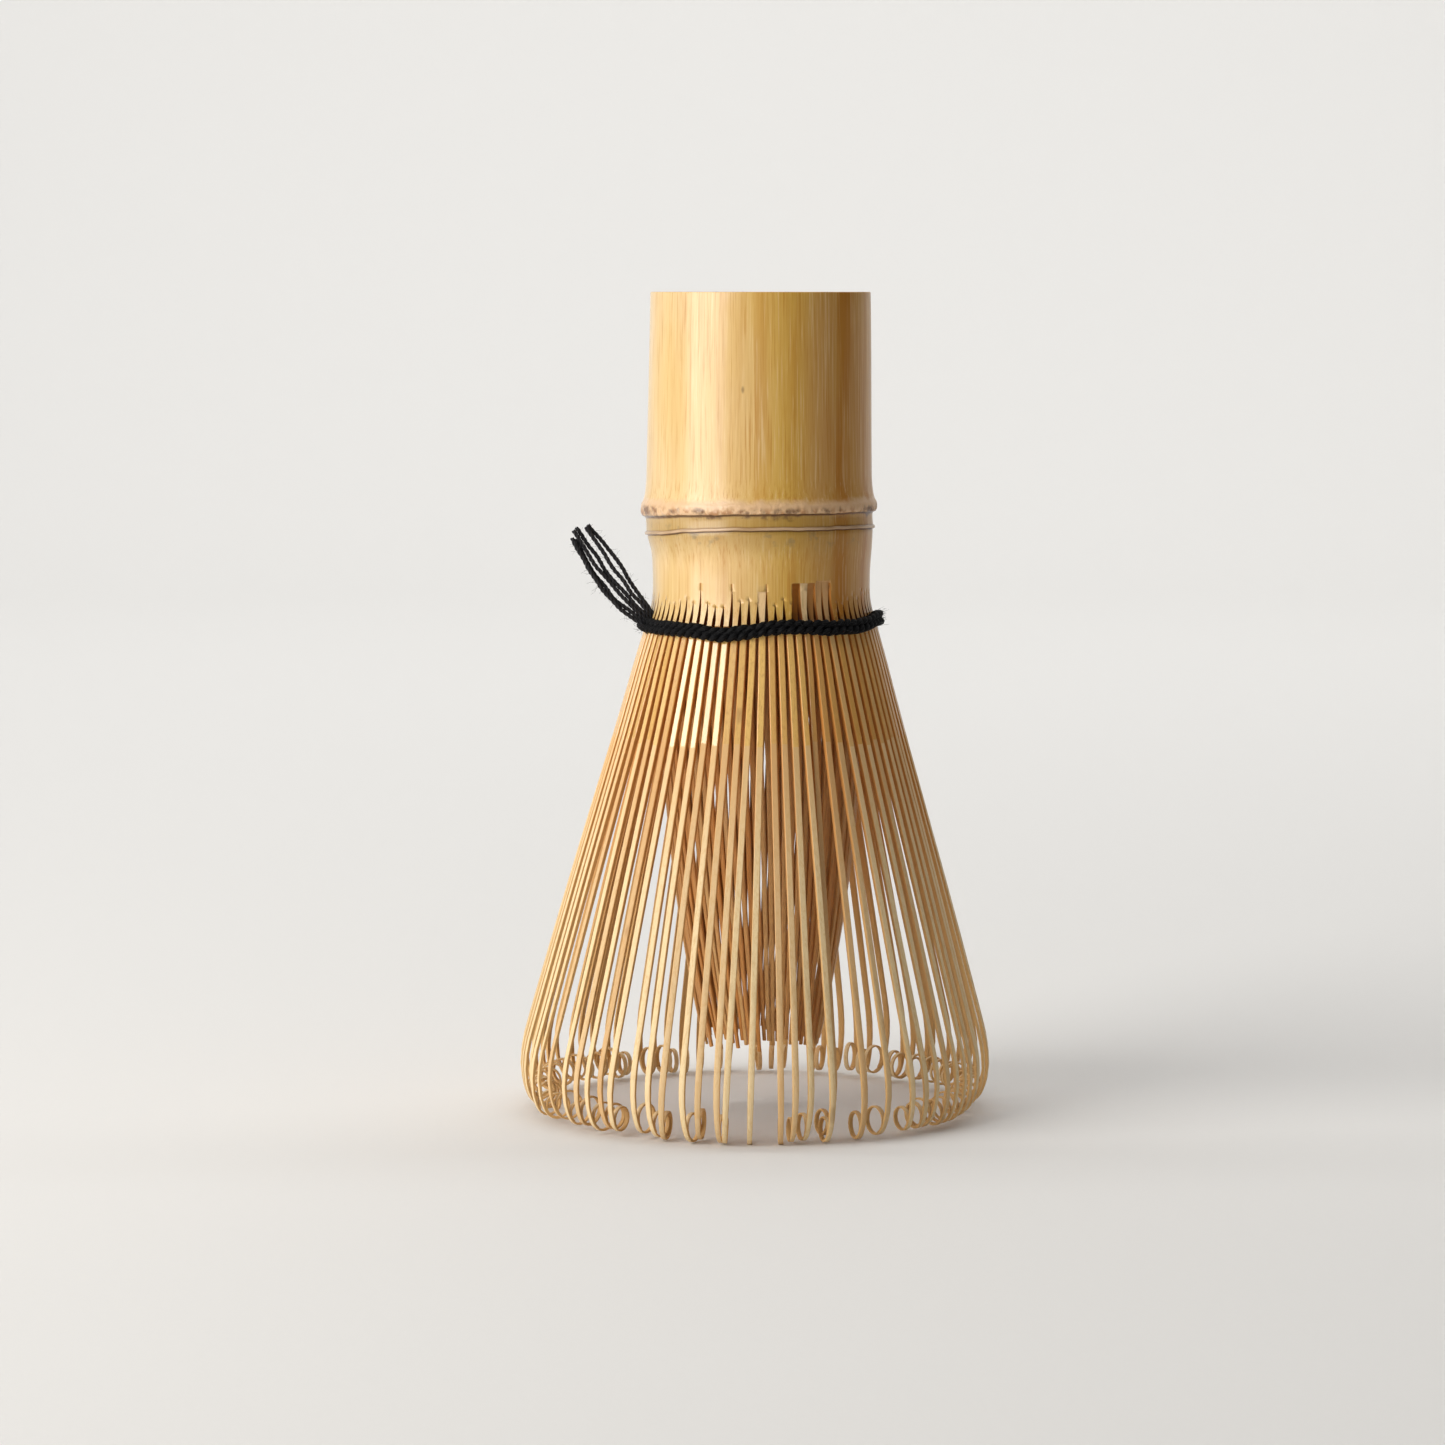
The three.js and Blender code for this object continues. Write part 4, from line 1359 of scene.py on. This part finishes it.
def loose_fibres(settings):
    """Fibres that stand off the band, and more of them off the ends and the knot."""
    draw = random.Random(2027)
    fibres = []
    on_band = int(settings.hairs * HAIRS_ON_BAND)
    for _ in range(on_band):
        azimuth = draw.uniform(0, math.tau)
        z = band_height(azimuth) + draw.uniform(-1.1, 1.1) * MM
        out = outward(azimuth)
        root = out * (tine_outside(z) + settings.row_radius * 1.5) + UP * z
        heading = out + Vector((draw.gauss(0, 0.8), draw.gauss(0, 0.8), draw.gauss(0, 0.7)))
        fibres.append(hair(root, heading, draw.uniform(0.4, 1.1) * MM, draw))
    lines = [end_line(index) for index in range(TAIL_ENDS)]
    for _ in range(settings.hairs - on_band):
        place, _, _ = draw.choice(draw.choice(lines))
        heading = Vector((draw.gauss(0, 1), draw.gauss(0, 1), draw.gauss(0, 1)))
        fibres.append(hair(place, heading, draw.uniform(0.7, 1.9) * MM, draw))
    return fibres


class WHISK_OT_thread_ends(bpy.types.Operator):
    """Model the thread's knot, its cut ends and its loose fibres"""

    bl_idname = "whisk.thread_ends"
    bl_label = "Knot and Ends"

    def execute(self, context):
        settings = context.scene.whisk_thread
        material = bpy.data.materials["black_cotton"]
        radius = settings.end_radius
        knot = thread_piece("cotton_knot", knot_plies(radius), material)
        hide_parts("thread_knot")
        for index in range(TAIL_ENDS):
            line = end_line(index)
            length = sum((b[0] - a[0]).length for a, b in zip(line, line[1:]))
            plies = twisted(line, radius, 3, length / settings.end_lay, phase=index)
            piece = thread_piece(numbered("cotton_end", index), plies, material)
            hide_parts(numbered("thread_tail", index))
        thread_piece("cotton_fibres", loose_fibres(settings), material, sides=4)
        return {"FINISHED"}


# ---- stage ----

SWEEP_FRONT, SWEEP_BACK = -1.6, 1.1  # of the floor
SWEEP_WIDTH, SWEEP_HEIGHT = 6.0, 2.0
SWEEP_RADIUS, SWEEP_STEPS = 0.5, 24
SENSOR_WIDTH = 36
AIM = (0, 0, 0.06)


def softbox(name, place, target, size, power, colour=(1, 1, 1)):
    """A rectangular area light, aimed at a target."""
    light = bpy.data.lights.new(name, "AREA")
    light.shape = "RECTANGLE"
    light.size, light.size_y = size
    light.energy = power
    light.color = colour
    lamp = placed(name, light)
    lamp.location = place
    lamp.rotation_euler = (Vector(target) - Vector(place)).to_track_quat("-Z", "Y").to_euler()


def sweep_mesh():
    """Floor and wall as one sheet of paper: a line across, drawn back along the floor, round and up."""
    bm = bmesh.new()
    ends = [bm.verts.new((side * SWEEP_WIDTH / 2, SWEEP_FRONT, 0)) for side in (-1, 1)]
    edges, verts = extruded(bm, [bm.edges.new(ends)])
    bmesh.ops.translate(bm, vec=(0, SWEEP_BACK - SWEEP_FRONT, 0), verts=verts)
    centre = (0, SWEEP_BACK, SWEEP_RADIUS)
    turned = bmesh.ops.spin(
        bm, geom=verts + edges, cent=centre, axis=(1, 0, 0), angle=math.pi / 2, steps=SWEEP_STEPS
    )
    _, verts = extruded(bm, [item for item in turned["geom_last"] if isinstance(item, bmesh.types.BMEdge)])
    bmesh.ops.translate(bm, vec=(0, 0, SWEEP_HEIGHT), verts=verts)
    bmesh.ops.recalc_face_normals(bm, faces=bm.faces[:])
    for face in bm.faces:
        face.smooth = True
    mesh = bpy.data.meshes.new("paper_sweep")
    bm.to_mesh(mesh)
    bm.free()
    return mesh


class WHISK_OT_stage(bpy.types.Operator):
    """Set up the camera, the paper sweep and the studio light"""

    bl_idname = "whisk.stage"
    bl_label = "Stage"

    def execute(self, context):
        scene = context.scene
        settings = scene.whisk_stage
        camera = bpy.data.cameras.new("camera")
        camera.lens = settings.lens
        camera.sensor_width = SENSOR_WIDTH
        camera.clip_start = 0.01
        scene.camera = placed("camera", camera)
        scene.camera.location = (-settings.camera_aside, -settings.camera_distance, settings.camera_height)
        scene.camera.rotation_euler = (math.pi / 2 - settings.camera_pitch, 0, 0)

        mesh = sweep_mesh()
        mesh.materials.append(paper_sweep(settings))
        sweep = placed("paper_sweep", mesh)

        softbox("key", (-0.60, -0.38, 0.30), AIM, (0.62, 0.80), settings.key_power, (1.0, 0.975, 0.94))
        softbox("fill", (0.75, -0.45, 0.25), AIM, (0.5, 0.6), settings.fill_power, (1.0, 0.93, 0.84))
        softbox("top", (0.0, 0.05, 0.95), AIM, (0.9, 0.9), settings.top_power)
        softbox("backdrop", (0.0, 0.55, 1.5), (0, 1.6, 0.6), (3.0, 0.5), settings.backdrop_power)
        world = bpy.data.worlds.new("studio")
        world.use_nodes = True
        background = world.node_tree.nodes["Background"]
        background.inputs["Color"].default_value = (0.90, 0.90, 0.92, 1)
        background.inputs["Strength"].default_value = 0.07
        scene.world = world
        scene.view_settings.view_transform = "Standard"
        return {"FINISHED"}


# ---- add-on ----

OPERATORS = (
    WHISK_OT_stage,
    WHISK_OT_handle,
    WHISK_OT_outer_tines,
    WHISK_OT_inner_tines,
    WHISK_OT_thread_band,
    WHISK_OT_thread_ends,
)


class WHISK_PT_panel(bpy.types.Panel):
    """The whisk's pieces, in the order in which they are made"""

    bl_idname = "WHISK_PT_panel"
    bl_label = "Tea Whisk"
    bl_space_type = "VIEW_3D"
    bl_region_type = "UI"
    bl_category = "Tea Whisk"

    def draw(self, context):
        for name in SETTINGS:
            box = self.layout.box()
            settings = getattr(context.scene, name)
            for prop in settings.__annotations__:
                box.prop(settings, prop)
        for operator in OPERATORS:
            self.layout.operator(operator.bl_idname)


SETTINGS = {
    "whisk_culm": CulmSettings,
    "whisk_tines": TineSettings,
    "whisk_thread": ThreadSettings,
    "whisk_stage": StageSettings,
}


def register():
    for settings in SETTINGS.values():
        bpy.utils.register_class(settings)
    for operator in OPERATORS:
        bpy.utils.register_class(operator)
    bpy.utils.register_class(WHISK_PT_panel)
    for name, settings in SETTINGS.items():
        setattr(bpy.types.Scene, name, PointerProperty(type=settings))


def unregister():
    for name in SETTINGS:
        delattr(bpy.types.Scene, name)
    bpy.utils.unregister_class(WHISK_PT_panel)
    for made in (*reversed(OPERATORS), *SETTINGS.values()):
        bpy.utils.unregister_class(made)


def main():
    register()
    bpy.ops.whisk.stage()
    bpy.ops.whisk.handle()
    bpy.ops.whisk.outer_tines()
    bpy.ops.whisk.inner_tines()
    bpy.ops.whisk.thread_band()
    bpy.ops.whisk.thread_ends()


if __name__ == "__main__":
    main()
